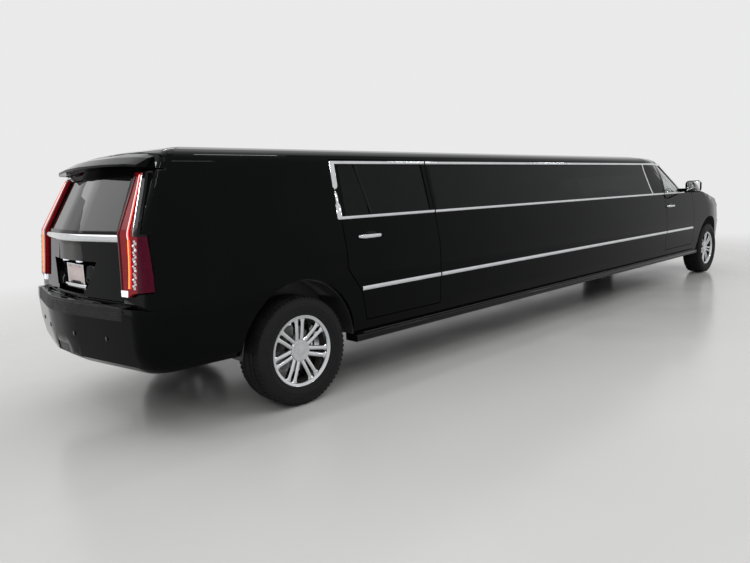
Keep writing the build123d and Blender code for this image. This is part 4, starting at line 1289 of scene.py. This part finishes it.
@dataclass
class FrontEnd:
    """The mesh, lamps, plate and wipers at the front."""

    skin: Skin
    mesh_pitch: float = 0.024
    mesh_wire: float = 0.0035
    weave: float = 0.003
    lamp_height: float = 0.945
    lamp_places: Sequence[float] = (0.650, 0.760)
    fog_place: Triple = (0.665, 0.215, 0.505)
    plate: tuple[float, float] = (0.304, 0.150)
    plate_height: float = 0.620
    wiper_spans: Sequence[tuple[float, float, float]] = ((-0.10, -0.66, -0.02), (0.60, 0.02, 0.66))

    def bow(self, x: float) -> float:
        """Gives how far the nose curves back at a place across."""
        return 0.10 * (abs(x) / 0.5) ** 2.4 * 0.7

    def mesh(self, name: str, reach: float, low: float, high: float, deep: float) -> None:
        """Adds a woven mesh behind an opening.

        Args:
            name: The piece's name.
            reach: How far it goes to each side.
            low: Its bottom.
            high: Its top.
            deep: How far behind the nose it lies.
        """
        form = Form()
        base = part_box("front_bumper")[0].y + deep
        profile = oval(self.mesh_wire, self.mesh_wire, 6)
        count = int(2 * reach / self.mesh_pitch)
        for k in range(count + 1):
            x = -reach + 2 * reach * k / count
            form.sweep([(x, base + self.bow(x), low), (x, base + self.bow(x), high)], profile, Vector((0, 1, 0)))
        rows = int((high - low) / self.mesh_pitch)
        for k in range(rows + 1):
            z = low + (high - low) * k / rows
            path = [(x, base + self.bow(x) + self.weave, z) for x in (reach * (2 * i / 12 - 1) for i in range(13))]
            form.sweep(path, profile, Vector((0, 1, 0)))
        form.outward().place(name, ROOT, GLOSS_PLASTIC)

    def lamp(self, side: int) -> None:
        """Adds the projectors and light lines of one headlamp.

        Args:
            side: LEFT or RIGHT.
        """
        name = SIDE_NAMES[side]
        for number, x in enumerate(self.lamp_places):
            spot = self.skin.front(side * x, self.lamp_height)
            nearby = self.skin.front(side * (x + 0.02), self.lamp_height)
            out = Vector((side * (nearby.y - spot.y), -0.02, 0)).normalized()
            ring = Form().turned([(-0.004, 0.030), (0.004, 0.033), (0.006, 0.037), (0.004, 0.041), (-0.004, 0.043),
                                  (-0.004, 0.030)], spot, out, 48)
            ring.outward().place(f"headlamp_ring_{name}_{number}", ROOT, CHROME)
            lens = Form().turned([(0.0, 0.0), (0.009, 0.0), (0.007, 0.014), (0.003, 0.024), (-0.004, 0.031),
                                  (-0.004, 0.0)], spot, out, 40)
            lens.outward().place(f"headlamp_lens_{name}_{number}", ROOT, WHITE_LENS)
        for part, line in (
            ("line", ((0.585, 1.020), (0.640, 1.033), (0.720, 1.034), (0.800, 1.032), (0.870, 1.028))),
            ("edge", ((0.578, 0.990), (0.578, 0.930), (0.580, 0.870), (0.590, 0.815))),
        ):
            path = [self.skin.front(side * x, z, 0.001) for x, z in line]
            Form().sweep(path, strip_profile(0.012, 0.003, 0.003), Vector((0, -1, 0))).outward().place(
                f"headlamp_{part}_{name}", ROOT, WHITE_LENS)
        x, deep, z = self.fog_place
        spot = Vector((side * x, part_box("front_bumper")[0].y + deep, z))
        fog = Form().turned([(-0.030, 0.0), (-0.030, 0.050), (0.010, 0.048), (0.014, 0.043), (0.010, 0.038),
                             (0.0, 0.036), (0.004, 0.018), (0.006, 0.0), (-0.030, 0.0)], spot,
                            Vector((0, -1, 0)), 48)
        fog.outward().place(f"fog_lamp_{name}", ROOT, CHROME)
        glass = Form().ball(Matrix.Translation(spot) @ Matrix.Diagonal((1, 0.25, 1, 1)), 0.036, 32, 12)
        glass.outward().place(f"fog_lens_{name}", ROOT, WHITE_LENS)

    def front_plate(self) -> None:
        """Adds the blank front plate."""
        wide, tall = self.plate
        middle = self.plate_height
        back = self.skin.front(0, middle).y
        Form().block((-wide / 2, back - 0.006, middle - tall / 2), (wide / 2, back + 0.020, middle + tall / 2),
                     0.003, 2).outward().place("front_plate", ROOT, PLATE)
        screws = Form().screws(back - 0.0065, (middle - 0.058, middle + 0.058), FORWARD)
        screws.outward().place("front_plate_screws", ROOT, BARE_STEEL)

    def wipers(self) -> None:
        """Lays the two wipers along the foot of the windscreen."""
        up = Vector((0, -0.5, 1)).normalized()
        for number, (foot, start, end) in enumerate(self.wiper_spans):
            blade = [self.skin.top(start + (end - start) * k / 8, FRONT_AXLE + 0.565, 0.010) for k in range(9)]
            blade = [p for p in blade if p.z > 1.2]
            arm = [self.skin.top(foot, FRONT_AXLE + 0.482, 0.012),
                   self.skin.top(foot - 0.05, FRONT_AXLE + 0.505, 0.030),
                   self.skin.top((start + end) / 2, FRONT_AXLE + 0.560, 0.020)]
            form = Form().sweep(
                blade, [(-0.005, -0.006), (0.005, -0.006), (0.007, 0.004), (0.0, 0.010), (-0.007, 0.004)], up)
            form.sweep(arm, [(-0.010, -0.004), (0.010, -0.004), (0.008, 0.005), (-0.008, 0.005)], up)
            form.disc(Matrix.Translation(arm[0]), 0.016, 0.022, 20, edge=0.003)
            form.outward().place(f"wiper_{number}", ROOT, PLASTIC)

    def build(self) -> None:
        """Makes every piece."""
        self.mesh("grille_mesh", 0.505, 0.738, 1.018, 0.090)
        self.mesh("intake_mesh", 0.405, 0.405, 0.536, 0.070)
        for side in (LEFT, RIGHT):
            self.lamp(side)
        self.front_plate()
        self.wipers()


@dataclass
class FlankDetail:
    """Mirror glass, glass divider, running-board details and door cards."""

    skin: Skin
    mirror_rear: float = FRONT_AXLE + 1.085
    rib_count: int = 7
    rib_pitch: float = 0.014
    bracket_pitch: float = 0.93

    def mirror(self, side: int) -> None:
        """Adds a mirror's glass.

        Args:
            side: LEFT or RIGHT.
        """
        name = SIDE_NAMES[side]
        rear = self.mirror_rear
        glass = Form().block((1.028, rear - 0.002, 1.352), (1.212, rear + 0.0035, 1.496), 0.003, 2)
        bevelled = [e for e in glass.mesh.edges if abs((e.verts[0].co - e.verts[1].co).y) > 0.004]
        glass.ease(bevelled, 0.03, 5)
        glass.outward().flipped(side).place(f"mirror_glass_{name}", f"front_door_{name}", MIRROR)

    def divider(self, side: int) -> None:
        """Adds the upright between the two panes of the rear door window.

        Args:
            side: LEFT or RIGHT.
        """
        path = [self.skin.side(REAR_AXLE - 0.700 - 0.069 * k / 6, 1.752 - 0.341 * k / 6 - 0.06 * (k == 6), side, 0.0)
                for k in range(7)]
        form = Form().sweep(path, [(-0.011, -0.002), (0.011, -0.002), (0.009, 0.003), (-0.009, 0.003)],
                            Vector((side, 0, 0)))
        form.outward().place(f"window_divider_{SIDE_NAMES[side]}", f"rear_door_{SIDE_NAMES[side]}", GLOSS_PLASTIC)

    def board(self, side: int) -> None:
        """Adds the ribbed tread, the edge line and the brackets of a running board.

        Args:
            side: LEFT or RIGHT.
        """
        low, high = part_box("running_boards")
        ribs = Form()
        start, end = low.y + 0.10, high.y - 0.10
        for k in range(self.rib_count):
            x = high.x - 0.030 - self.rib_pitch * k
            ribs.block((x - 0.004, start, high.z - 0.002), (x + 0.004, end, high.z + 0.0025), 0.0015, 1)
        ribs.outward().flipped(side).place(f"board_ribs_{SIDE_NAMES[side]}", ROOT, PLASTIC)
        line = Form().block((high.x - 0.003, start, high.z - 0.030), (high.x + 0.003, end, high.z - 0.016), 0.0025, 3)
        line.outward().flipped(side).place(f"board_line_{SIDE_NAMES[side]}", ROOT, GLOSS_PLASTIC)
        brackets = Form()
        y = low.y + 0.5
        while y < high.y - 0.3:
            brackets.block((0.495, y, 0.425), (high.x - 0.10, y + 0.05, 0.437), 0.003, 1)
            y += self.bracket_pitch
        brackets.outward().flipped(side).place(f"board_brackets_{SIDE_NAMES[side]}", ROOT, FRAME_PAINT)

    def cards(self, side: int) -> None:
        """Adds the armrests and pulls inside the doors.

        Args:
            side: LEFT or RIGHT.
        """
        name = SIDE_NAMES[side]
        for door, start, end in ((f"front_door_{name}", FRONT_AXLE + 0.98, FRONT_AXLE + 1.66),
                                 (f"rear_door_{name}", REAR_AXLE - 1.44, REAR_AXLE - 0.72)):
            inner = 0.722 if door.startswith("front") else 0.778
            rest = Form().block((inner - 0.024, start, 0.960), (inner + 0.010, end, 1.020), 0.010, 3)
            rest.block((inner - 0.010, start + 0.05, 0.660), (inner + 0.004, end - 0.05, 0.860), 0.006, 2)
            rest.outward().flipped(side).place(f"door_card_{door}", door, LEATHER)
            pull = Form().sweep([(inner + 0.002, start + 0.30, 1.120), (inner - 0.016, start + 0.32, 1.120),
                                 (inner - 0.016, start + 0.42, 1.120), (inner + 0.002, start + 0.44, 1.120)],
                                oval(0.007, 0.005, 10), Vector((0, 0, 1)))
            pull.outward().flipped(side).place(f"door_latch_{door}", door, CHROME)

    def build(self) -> None:
        """Makes both sides."""
        for side in (LEFT, RIGHT):
            self.mirror(side)
            self.divider(side)
            self.board(side)
            self.cards(side)


@dataclass
class Pad:
    """A stuffed pad, blown up by a cloth simulation and stitched."""

    size: Triple
    voxel: float = 0.014
    cap: float = 0.016
    edge: float = 0.035
    channels: Sequence[float] = ()
    along: int = 0
    face: int = 2
    groove: float = 0.009
    pressure: float = 4.0
    frames: int = 20

    def ends(self, holder: bpy.types.Object) -> list[Vector]:
        """Gives where the simulation moves the points.

        Args:
            holder: The object that carries it.

        Returns:
            The points at the end.
        """
        cloth = holder.modifiers.new("cloth", "CLOTH")
        cloth.settings.use_pressure = True
        cloth.settings.uniform_pressure_force = self.pressure
        cloth.settings.effector_weights.gravity = 0.0
        cloth.point_cache.frame_start, cloth.point_cache.frame_end = 1, self.frames
        for number in range(1, self.frames + 1):
            bpy.context.scene.frame_set(number)
        blown = holder.evaluated_get(bpy.context.evaluated_depsgraph_get()).to_mesh()
        moved = [v.co.copy() for v in blown.vertices]
        bpy.context.scene.frame_set(1)
        return moved

    def stitched(self, point: Vector, half: Vector) -> Vector:
        """Presses the channels and the side seam into a point.

        Args:
            point: The point.
            half: Half the pad's size.

        Returns:
            The pressed point.
        """
        across, top = self.along, self.face
        lift = point[top] / half[top]
        width = self.voxel * 1.5
        if lift > 0.2:
            near = min((abs(point[across] - c) for c in self.channels), default=1.0)
            if near < width:
                point[top] -= self.groove * (1 - (near / width) ** 2)
        if abs(lift - 0.45) * half[top] < self.voxel * 0.6:
            for axis in range(3):
                if axis != top and abs(point[axis]) > half[axis] * 0.80:
                    point[axis] -= math.copysign(0.004, point[axis])
        return Vector(max(-h, min(h, p)) for p, h in zip(point, half))

    def mesh(self) -> bpy.types.Mesh:
        """Makes the pad about the origin.

        Returns:
            Its mesh.
        """
        half = Vector(self.size) / 2
        slim = half - Vector((1, 1, 1)) * self.cap * 0.55
        form = Form().block(-slim, slim, self.edge, 4)
        data = bpy.data.meshes.new("pad_start")
        form.mesh.to_mesh(data)
        form.mesh.free()
        holder = bpy.data.objects.new("pad_start", data)
        bpy.context.scene.collection.objects.link(holder)
        voxels = holder.modifiers.new("voxels", "REMESH")
        voxels.mode = "VOXEL"
        voxels.voxel_size = self.voxel
        graph = bpy.context.evaluated_depsgraph_get()
        start = bpy.data.meshes.new_from_object(holder.evaluated_get(graph))
        holder.modifiers.clear()
        holder.data = start
        rest = [v.co.copy() for v in start.vertices]
        for vertex, old, new in zip(start.vertices, rest, self.ends(holder)):
            move = new - old
            if move.length > self.cap:
                move *= self.cap / move.length
            vertex.co = self.stitched(old + move, half)
        bpy.data.objects.remove(holder)
        return start

    def upholster(self, name: str, places: Sequence[Matrix], node: str, finish: Finish) -> None:
        """Makes one piece of a row of these pads.

        Args:
            name: The piece's name.
            places: Where each pad goes.
            node: The CAD solid that it stands for.
            finish: Its finish.
        """
        data = self.mesh()
        merged = bmesh.new()
        for place in places:
            before = len(merged.verts)
            merged.from_mesh(data)
            merged.verts.ensure_lookup_table()
            bmesh.ops.transform(merged, matrix=place, verts=merged.verts[before:])
        made = Form(merged).place(name, ROOT, finish, smooth=180, replaces=[node])
        smooth = made.modifiers.new("smooth", "SUBSURF")
        smooth.levels = smooth.render_levels = 1


@dataclass
class Cabin:
    """The seats, the bench, the bar and the driver's controls."""

    seat_middle: float = 0.430
    seat_front: float = FRONT_AXLE + 1.180
    seat_channels: Sequence[float] = (-0.15, -0.05, 0.05, 0.15)
    bench_front: float = FRONT_AXLE + 1.982
    bench_rear: float = REAR_AXLE - 0.600
    bench_count: int = 6
    bench_channels: Sequence[float] = (-0.27, 0.0, 0.27)
    bar_doors: int = 8
    glass_count: int = 18
    glass_line: Sequence[tuple[float, float]] = (
        (0.0, 0.0), (0.0, 0.030), (0.002, 0.030), (0.004, 0.005), (0.075, 0.004), (0.085, 0.018), (0.120, 0.031),
        (0.170, 0.027), (0.170, 0.0255), (0.121, 0.0290), (0.088, 0.016), (0.080, 0.0))

    def pair(self, back: float, height: float, turn: Matrix) -> list[Matrix]:
        """Gives where a piece goes on both front seats."""
        spots = [(s * self.seat_middle, self.seat_front + back, height) for s in (LEFT, RIGHT)]
        return [Matrix.Translation(spot) @ turn for spot in spots]

    def front_seats(self) -> None:
        """Makes the two front seats."""
        cushion = Pad((0.500, 0.470, 0.150), channels=self.seat_channels, voxel=0.013)
        cushion.upholster("front_seat_cushions", self.pair(0.240, 0.858, Matrix.Rotation(math.radians(4), 4, "X")),
                          "front_seats", LEATHER)
        back = Pad((0.480, 0.135, 0.470), channels=self.seat_channels, face=1, voxel=0.013)
        lean = Matrix.Rotation(math.radians(-14.5), 4, "X")
        turned = lean @ Matrix.Rotation(math.pi, 4, "Z")
        back.upholster("front_seat_backs", self.pair(0.560, 1.055, turned), "front_seats", LEATHER)
        rest = Pad((0.270, 0.105, 0.120), voxel=0.010, cap=0.010, edge=0.03, face=1)
        rest.upholster("front_head_restraints", self.pair(0.634, 1.326, turned), "front_seats", LEATHER)
        bases = Form()
        for s in (LEFT, RIGHT):
            x = s * self.seat_middle
            bases.block((x - 0.21, self.seat_front + 0.04, 0.601), (x + 0.21, self.seat_front + 0.50, 0.780),
                        0.02, 3)
            for dx in (-0.06, 0.06):
                bases.disc(Matrix.Translation((x + dx, self.seat_front + 0.612, 1.262)) @ lean, 0.006, 0.09, 12)
        bases.outward().place("front_seat_bases", ROOT, PLASTIC, replaces=["front_seats"])

    def saloon_bench(self) -> None:
        """Makes the long side bench and the rear bench."""
        end = self.bench_rear - 0.562
        length = (end - self.bench_front) / self.bench_count
        spots = [self.bench_front + length * (k + 0.5) for k in range(self.bench_count)]
        seat = Pad((0.480, length - 0.004, 0.150), channels=self.bench_channels, along=1, voxel=0.022)
        seat.upholster("bench_cushions", [Matrix.Translation((0.662, y, 0.924)) for y in spots], "saloon_bench",
                       GREY_LEATHER)
        back = Pad((0.096, length - 0.004, 0.290), channels=self.bench_channels, along=1, face=0, voxel=0.018,
                   cap=0.012, edge=0.03)
        flip = Matrix.Rotation(math.pi, 4, "Z")
        back.upholster("bench_backs", [Matrix.Translation((0.811, y, 1.152)) @ flip for y in spots], "saloon_bench",
                       GREY_LEATHER)
        rear_seat = Pad((0.594, 0.550, 0.150), channels=(-0.16, 0.0, 0.16), voxel=0.020)
        rear_seat.upholster("rear_bench_cushions", [
            Matrix.Translation((x, self.bench_rear - 0.282, 0.924)) for x in (-0.598, 0.0, 0.598)], "saloon_bench",
            GREY_LEATHER)
        rear_back = Pad((0.566, 0.116, 0.410), channels=(-0.15, 0.0, 0.15), face=1, voxel=0.018, cap=0.012)
        rear_back.upholster("rear_bench_backs", [
            Matrix.Translation((x, self.bench_rear - 0.060, 1.213)) @ flip for x in (-0.570, 0.0, 0.570)],
            "saloon_bench", GREY_LEATHER)
        plinth = Form().block((0.440, self.bench_front, 0.601), (0.900, self.bench_rear, 0.848), 0.006, 2)
        plinth.block((-0.900, self.bench_rear - 0.540, 0.601), (0.439, self.bench_rear, 0.848), 0.006, 2)
        plinth.outward().place("bench_plinth", ROOT, WOOD, replaces=["saloon_bench"])
        light = Form().block((0.434, self.bench_front + 0.02, 0.836), (0.440, end, 0.844), 0.001, 1)
        light.outward().place("bench_light_line", ROOT, BLUE_LINE)

    def bar(self) -> None:
        """Adds the counter, doors, rail and glasses of the bar."""
        low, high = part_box("bar_cabinet")
        top = Form().block((low.x, low.y + 0.004, high.z), (high.x + 0.012, high.y - 0.004, high.z + 0.014), 0.004, 2)
        top.outward().place("bar_counter", ROOT, GLOSS_PLASTIC)
        fronts = Form()
        knobs = Form()
        pitch = (high.y - low.y) / self.bar_doors
        for k in range(self.bar_doors):
            start = low.y + pitch * k + 0.012
            fronts.block((high.x - 0.002, start, low.z + 0.05),
                         (high.x + 0.010, start + pitch - 0.024, high.z - 0.04), 0.004, 2)
            knobs.block((high.x + 0.009, start + pitch - 0.075, 0.86),
                        (high.x + 0.019, start + pitch - 0.060, 0.98), 0.004, 2)
        fronts.outward().place("bar_fronts", ROOT, WOOD)
        knobs.outward().place("bar_pulls", ROOT, CHROME)
        glasses = Form()
        for k in range(self.glass_count):
            foot = Vector((-0.72 - 0.07 * (k % 2), low.y + 0.35 + 0.20 * k, high.z + 0.0145))
            glasses.turned(self.glass_line, foot, Vector((0, 0, 1)), 16)
        glasses.outward().place("bar_glasses", ROOT, CLEAR_GLASS)
        path = [(high.x + 0.002, y, high.z + lift) for y, lift in (
            (low.y + 0.03, 0.014), (low.y + 0.03, 0.050), (high.y - 0.03, 0.050), (high.y - 0.03, 0.014))]
        rail = Form().sweep(path, oval(0.006, 0.006, 10), Vector((1, 0, 0)))
        rail.outward().place("bar_rail", ROOT, CHROME)

    def ceiling(self) -> None:
        """Adds the light lines of the saloon's ceiling."""
        form = Form()
        for x in (-0.40, 0.40):
            form.block((x - 0.010, FRONT_AXLE + 2.10, 1.8215), (x + 0.010, REAR_AXLE - 1.0, 1.8295), 0.002, 1)
        form.outward().place("ceiling_light_lines", ROOT, BLUE_LINE)

    def controls(self) -> None:
        """Adds the dials, screen, vents, wheel boss, column and pedals."""
        base = FRONT_AXLE + 0.510
        hood = Form().block((0.25, base + 0.10, 1.225), (0.61, base + 0.36, 1.262), 0.014, 3)
        hood.block((-0.62, base + 0.10, 1.238), (-0.22, base + 0.33, 1.256), 0.010, 3)
        hood.outward().place("instrument_hood", ROOT, PLASTIC)
        dials = Form()
        for x, radius in ((0.345, 0.052), (0.515, 0.052), (0.43, 0.030)):
            dials.turned([(-0.01, 0.0), (-0.01, radius), (0.006, radius), (0.006, radius - 0.005),
                          (0.001, radius - 0.008), (0.001, 0.0)], Vector((x, base + 0.402, 1.172)),
                         Vector((0, 0.97, 0.24)), 36)
        dials.outward().place("instrument_dials", ROOT, CHROME)
        screen = Form().block((-0.16, base + 0.372, 1.055), (0.16, base + 0.412, 1.215), 0.006, 3)
        screen.outward().place("centre_screen", ROOT, GLOSS_PLASTIC)
        vents = Form()
        for x in (-0.66, -0.27, 0.24, 0.66):
            for k in range(5):
                vents.block((x - 0.05, base + 0.385, 1.098 + 0.015 * k), (x + 0.05, base + 0.412, 1.103 + 0.015 * k),
                            0.001, 1)
        vents.outward().place("dashboard_vents", ROOT, CHROME)
        axis = Vector((0, 0.9, 0.42)).normalized()
        centre = Vector((0.430, base + 0.560, 1.130))
        boss = Form().turned([(-0.035, 0.0), (-0.035, 0.055), (-0.010, 0.075), (0.012, 0.070), (0.020, 0.045),
                              (0.022, 0.0)], centre, axis, 40)
        boss.outward().place("steering_boss", ROOT, LEATHER)
        column = Form().turned([(-0.20, 0.0), (-0.20, 0.034), (-0.03, 0.030), (-0.03, 0.0)], centre, axis, 24)
        column.outward().place("steering_column", ROOT, PLASTIC)
        pedals = Form()
        for x, low, wide in ((0.50, 0.66, 0.05), (0.38, 0.70, 0.085)):
            pedals.block((x - wide / 2, base + 0.150, low), (x + wide / 2, base + 0.162, low + 0.09), 0.004, 2)
            pedals.block((x - 0.006, base + 0.060, low + 0.07), (x + 0.006, base + 0.152, low + 0.082), 0.002, 1)
        pedals.outward().place("pedals", ROOT, BARE_STEEL)

    def build(self) -> None:
        """Makes every piece."""
        self.front_seats()
        self.saloon_bench()
        self.bar()
        self.ceiling()
        self.controls()


@dataclass(frozen=True)
class Lamp:
    """A rectangular lamp: its middle, its sides, its power in watts and where it shines."""

    name: str
    place: Triple
    size: tuple[float, float]
    power: float
    aim: Triple = (0, 0, -1)
    glossy: bool = True

    def hang(self) -> None:
        """Adds the lamp, which shows in reflections only if it is glossy."""
        data = bpy.data.lights.new(self.name, "AREA")
        data.shape = "RECTANGLE"
        data.size, data.size_y = self.size
        data.energy = self.power
        lamp = bpy.data.objects.new(self.name, data)
        spin = Vector(self.aim).to_track_quat("-Z", "Y").to_matrix().to_4x4()
        lamp.matrix_world = Matrix.Translation(self.place) @ spin
        lamp.visible_glossy = self.glossy
        bpy.context.scene.collection.objects.link(lamp)


LAMPS = (
    Lamp("soft_overhead", (-1.0, 2.0, 7.5), (24.0, 28.0), 2350.0, glossy=False),
    Lamp("soft_rear", (-7.0, 10.0, 4.5), (5.0, 3.0), 160.0, (0.55, -0.75, -0.35), glossy=False),
    Lamp("hall_window", (5.2, 7.3, 4.1), (3.4, 1.8), 26.0, (-0.71, -0.35, -0.60)),
)


@dataclass
class Studio:
    """The floor, the light and the camera."""

    eye: Triple = (-4.536, REAR_AXLE + 2.670, 1.535)
    yaw: float = 46.04
    pitch: float = 8.26
    roll: float = 2.19
    focal: float = 622.8
    frame_width: float = 750.0
    sensor: float = 36.0
    floor_radius: float = 60.0
    backdrop: Colour = (0.82, 0.825, 0.82)
    ceiling: float = 5.6
    ceiling_rows: Sequence[tuple[float, int]] = ((-5.5, 4), (0.0, 2), (5.5, 4))
    fade_start: float = 4.8
    fade_end: float = 9.5
    fade_squeeze: Triple = (1.0, 0.72, 1.0)
    floor_colours: tuple[Colour, Colour] = ((0.55, 0.55, 0.54), (0.59, 0.59, 0.58))
    floor_roughness: tuple[float, float] = (0.16, 0.25)
    low_light: tuple[float, Colour] = (0.03, (0.34, 0.345, 0.35))
    high_light: tuple[float, Colour] = (0.36, (0.045, 0.046, 0.048))

    def camera(self) -> None:
        """Puts the camera where the photographer stood."""
        yaw, pitch, roll = (math.radians(a) for a in (self.yaw, self.pitch, self.roll))
        ahead = Vector((math.sin(yaw) * math.cos(pitch), -math.cos(yaw) * math.cos(pitch), -math.sin(pitch)))
        level = ahead.cross(Vector((0, 0, 1))).normalized()
        below = ahead.cross(level).normalized()
        across = math.cos(roll) * level + math.sin(roll) * below
        down = math.cos(roll) * below - math.sin(roll) * level
        lens = bpy.data.cameras.new("camera")
        lens.sensor_fit = "HORIZONTAL"
        lens.sensor_width = self.sensor
        lens.lens = self.sensor * self.focal / self.frame_width
        lens.clip_end = 400.0
        holder = bpy.data.objects.new("camera", lens)
        holder.matrix_world = Matrix.Translation(self.eye) @ Matrix((across, -down, -ahead)).transposed().to_4x4()
        bpy.context.scene.collection.objects.link(holder)
        bpy.context.scene.camera = holder

    def floor(self) -> None:
        """Lays a pale, slightly glossy floor."""
        mesh = bmesh.new()
        bmesh.ops.create_circle(mesh, cap_ends=True, segments=96, radius=self.floor_radius)
        data = bpy.data.meshes.new("studio_floor")
        mesh.to_mesh(data)
        mesh.free()
        shader = Shader("pale_floor")
        surface = shader.add("ShaderNodeBsdfPrincipled")
        surface.inputs["Specular IOR Level"].default_value = 0.32
        cloud = shader.noise(0.35, 3.0)
        shader.join(shader.blend(shader.spread(cloud, 0, 1), *self.floor_colours), surface.inputs["Base Color"])
        shader.join(shader.spread(shader.noise(1.5, 4.0), *self.floor_roughness), surface.inputs["Roughness"])
        far = shader.add("ShaderNodeVectorMath", operation="LENGTH")
        squeeze = shader.add("ShaderNodeMapping")
        squeeze.inputs["Scale"].default_value = self.fade_squeeze
        shader.join(shader.coordinates, squeeze.inputs["Vector"])
        shader.join(squeeze.outputs["Vector"], far.inputs[0])
        fade = shader.add("ShaderNodeMapRange", interpolation_type="SMOOTHSTEP")
        fade.inputs["From Min"].default_value = self.fade_start
        fade.inputs["From Max"].default_value = self.fade_end
        shader.join(far.outputs["Value"], fade.inputs["Value"])
        distant = shader.add("ShaderNodeEmission")
        distant.inputs["Color"].default_value = (*self.backdrop, 1)
        choose = shader.add("ShaderNodeMixShader")
        shader.join(fade.outputs["Result"], choose.inputs[0])
        shader.join(surface.outputs["BSDF"], choose.inputs[1])
        shader.join(distant.outputs["Emission"], choose.inputs[2])
        shader.join(choose.outputs["Shader"], shader.output.inputs["Surface"])
        data.materials.append(shader.material)
        floor = bpy.data.objects.new("studio_floor", data)
        bpy.context.scene.collection.objects.link(floor)

    def world(self) -> None:
        """Gives a pale surround whose light on the object darkens overhead."""
        world = bpy.data.worlds.new("studio")
        bpy.context.scene.world = world
        world.use_nodes = True
        tree = world.node_tree
        tree.nodes.clear()
        out = tree.nodes.new("ShaderNodeOutputWorld")
        light = tree.nodes.new("ShaderNodeBackground")
        where = tree.nodes.new("ShaderNodeTexCoord")
        split = tree.nodes.new("ShaderNodeSeparateXYZ")
        ramp = tree.nodes.new("ShaderNodeValToRGB")
        ramp.color_ramp.interpolation = "EASE"
        for stop, (height, colour) in zip(ramp.color_ramp.elements, (self.low_light, self.high_light)):
            stop.position, stop.color = height, (*colour, 1)
        seen = tree.nodes.new("ShaderNodeBackground")
        seen.inputs["Color"].default_value = (*self.backdrop, 1)
        path = tree.nodes.new("ShaderNodeLightPath")
        shown = path.outputs["Is Camera Ray"]
        for ray in ("Is Glossy Ray", "Is Transmission Ray"):
            either = tree.nodes.new("ShaderNodeMath")
            either.operation = "MAXIMUM"
            tree.links.new(shown, either.inputs[0])
            tree.links.new(path.outputs[ray], either.inputs[1])
            shown = either.outputs[0]
        choose = tree.nodes.new("ShaderNodeMixShader")
        tree.links.new(where.outputs["Generated"], split.inputs[0])
        tree.links.new(split.outputs["Z"], ramp.inputs[0])
        tree.links.new(ramp.outputs["Color"], light.inputs["Color"])
        tree.links.new(shown, choose.inputs[0])
        tree.links.new(light.outputs["Background"], choose.inputs[1])
        tree.links.new(seen.outputs["Background"], choose.inputs[2])
        tree.links.new(choose.outputs["Shader"], out.inputs["Surface"])

    def lamps(self) -> None:
        """Hangs the soft lamps, the hall window and the slim ceiling lamps."""
        for lamp in LAMPS:
            lamp.hang()
        for row, (x, count) in enumerate(self.ceiling_rows):
            for k in range(count):
                Lamp(f"ceiling_{row}_{k}", (x, 8.0 - 6.0 * k, self.ceiling), (0.30, 1.3), 24.0).hang()

    def build(self) -> None:
        """Sets up the whole studio."""
        bpy.context.scene.view_settings.view_transform = "Standard"
        self.camera()
        self.floor()
        self.world()
        self.lamps()


def main() -> None:
    """Builds the vehicle's looks piece by piece."""
    logging.basicConfig(level=logging.INFO, format="%(message)s")
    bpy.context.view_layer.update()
    Studio().build()
    panels = [f"{node}_{side}" for node in ("body_side", "front_door", "rear_door", "fender", "front_door_glass",
                                            "rear_door_glass") for side in SIDE_NAMES.values()]
    skin = Skin([*panels, "side_glass", "rear_bumper", "tailgate", "tailgate_glass", "tail_lamps", "hood",
                 "front_bumper", "grille", "headlamps", "windscreen", "cowl_and_firewall"])
    for dressing in dressings():
        dressing.make()
    BrightTrim(skin).build()
    for side, name in SIDE_NAMES.items():
        DoorHandle(skin).build(side, f"rear_door_{name}", REAR_AXLE - 0.590)
        DoorHandle(skin, height=1.160).build(side, f"front_door_{name}", REAR_AXLE - 6.620)
        for end in ("front", "rear"):
            low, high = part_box(f"{end}_tyre_{name}")
            middle = (low + high) / 2
            TyreForm(f"{end}_tyre_{name}", middle).build()
            Rim(f"{end}_rim_{name}", side, middle).build()
            WheelDetail(end, side, middle).build()
    TailLamps(skin).build()
    RearEnd(skin).build()
    FrontEnd(skin).build()
    FlankDetail(skin).build()
    Cabin().build()


if __name__ == "__main__":
    main()
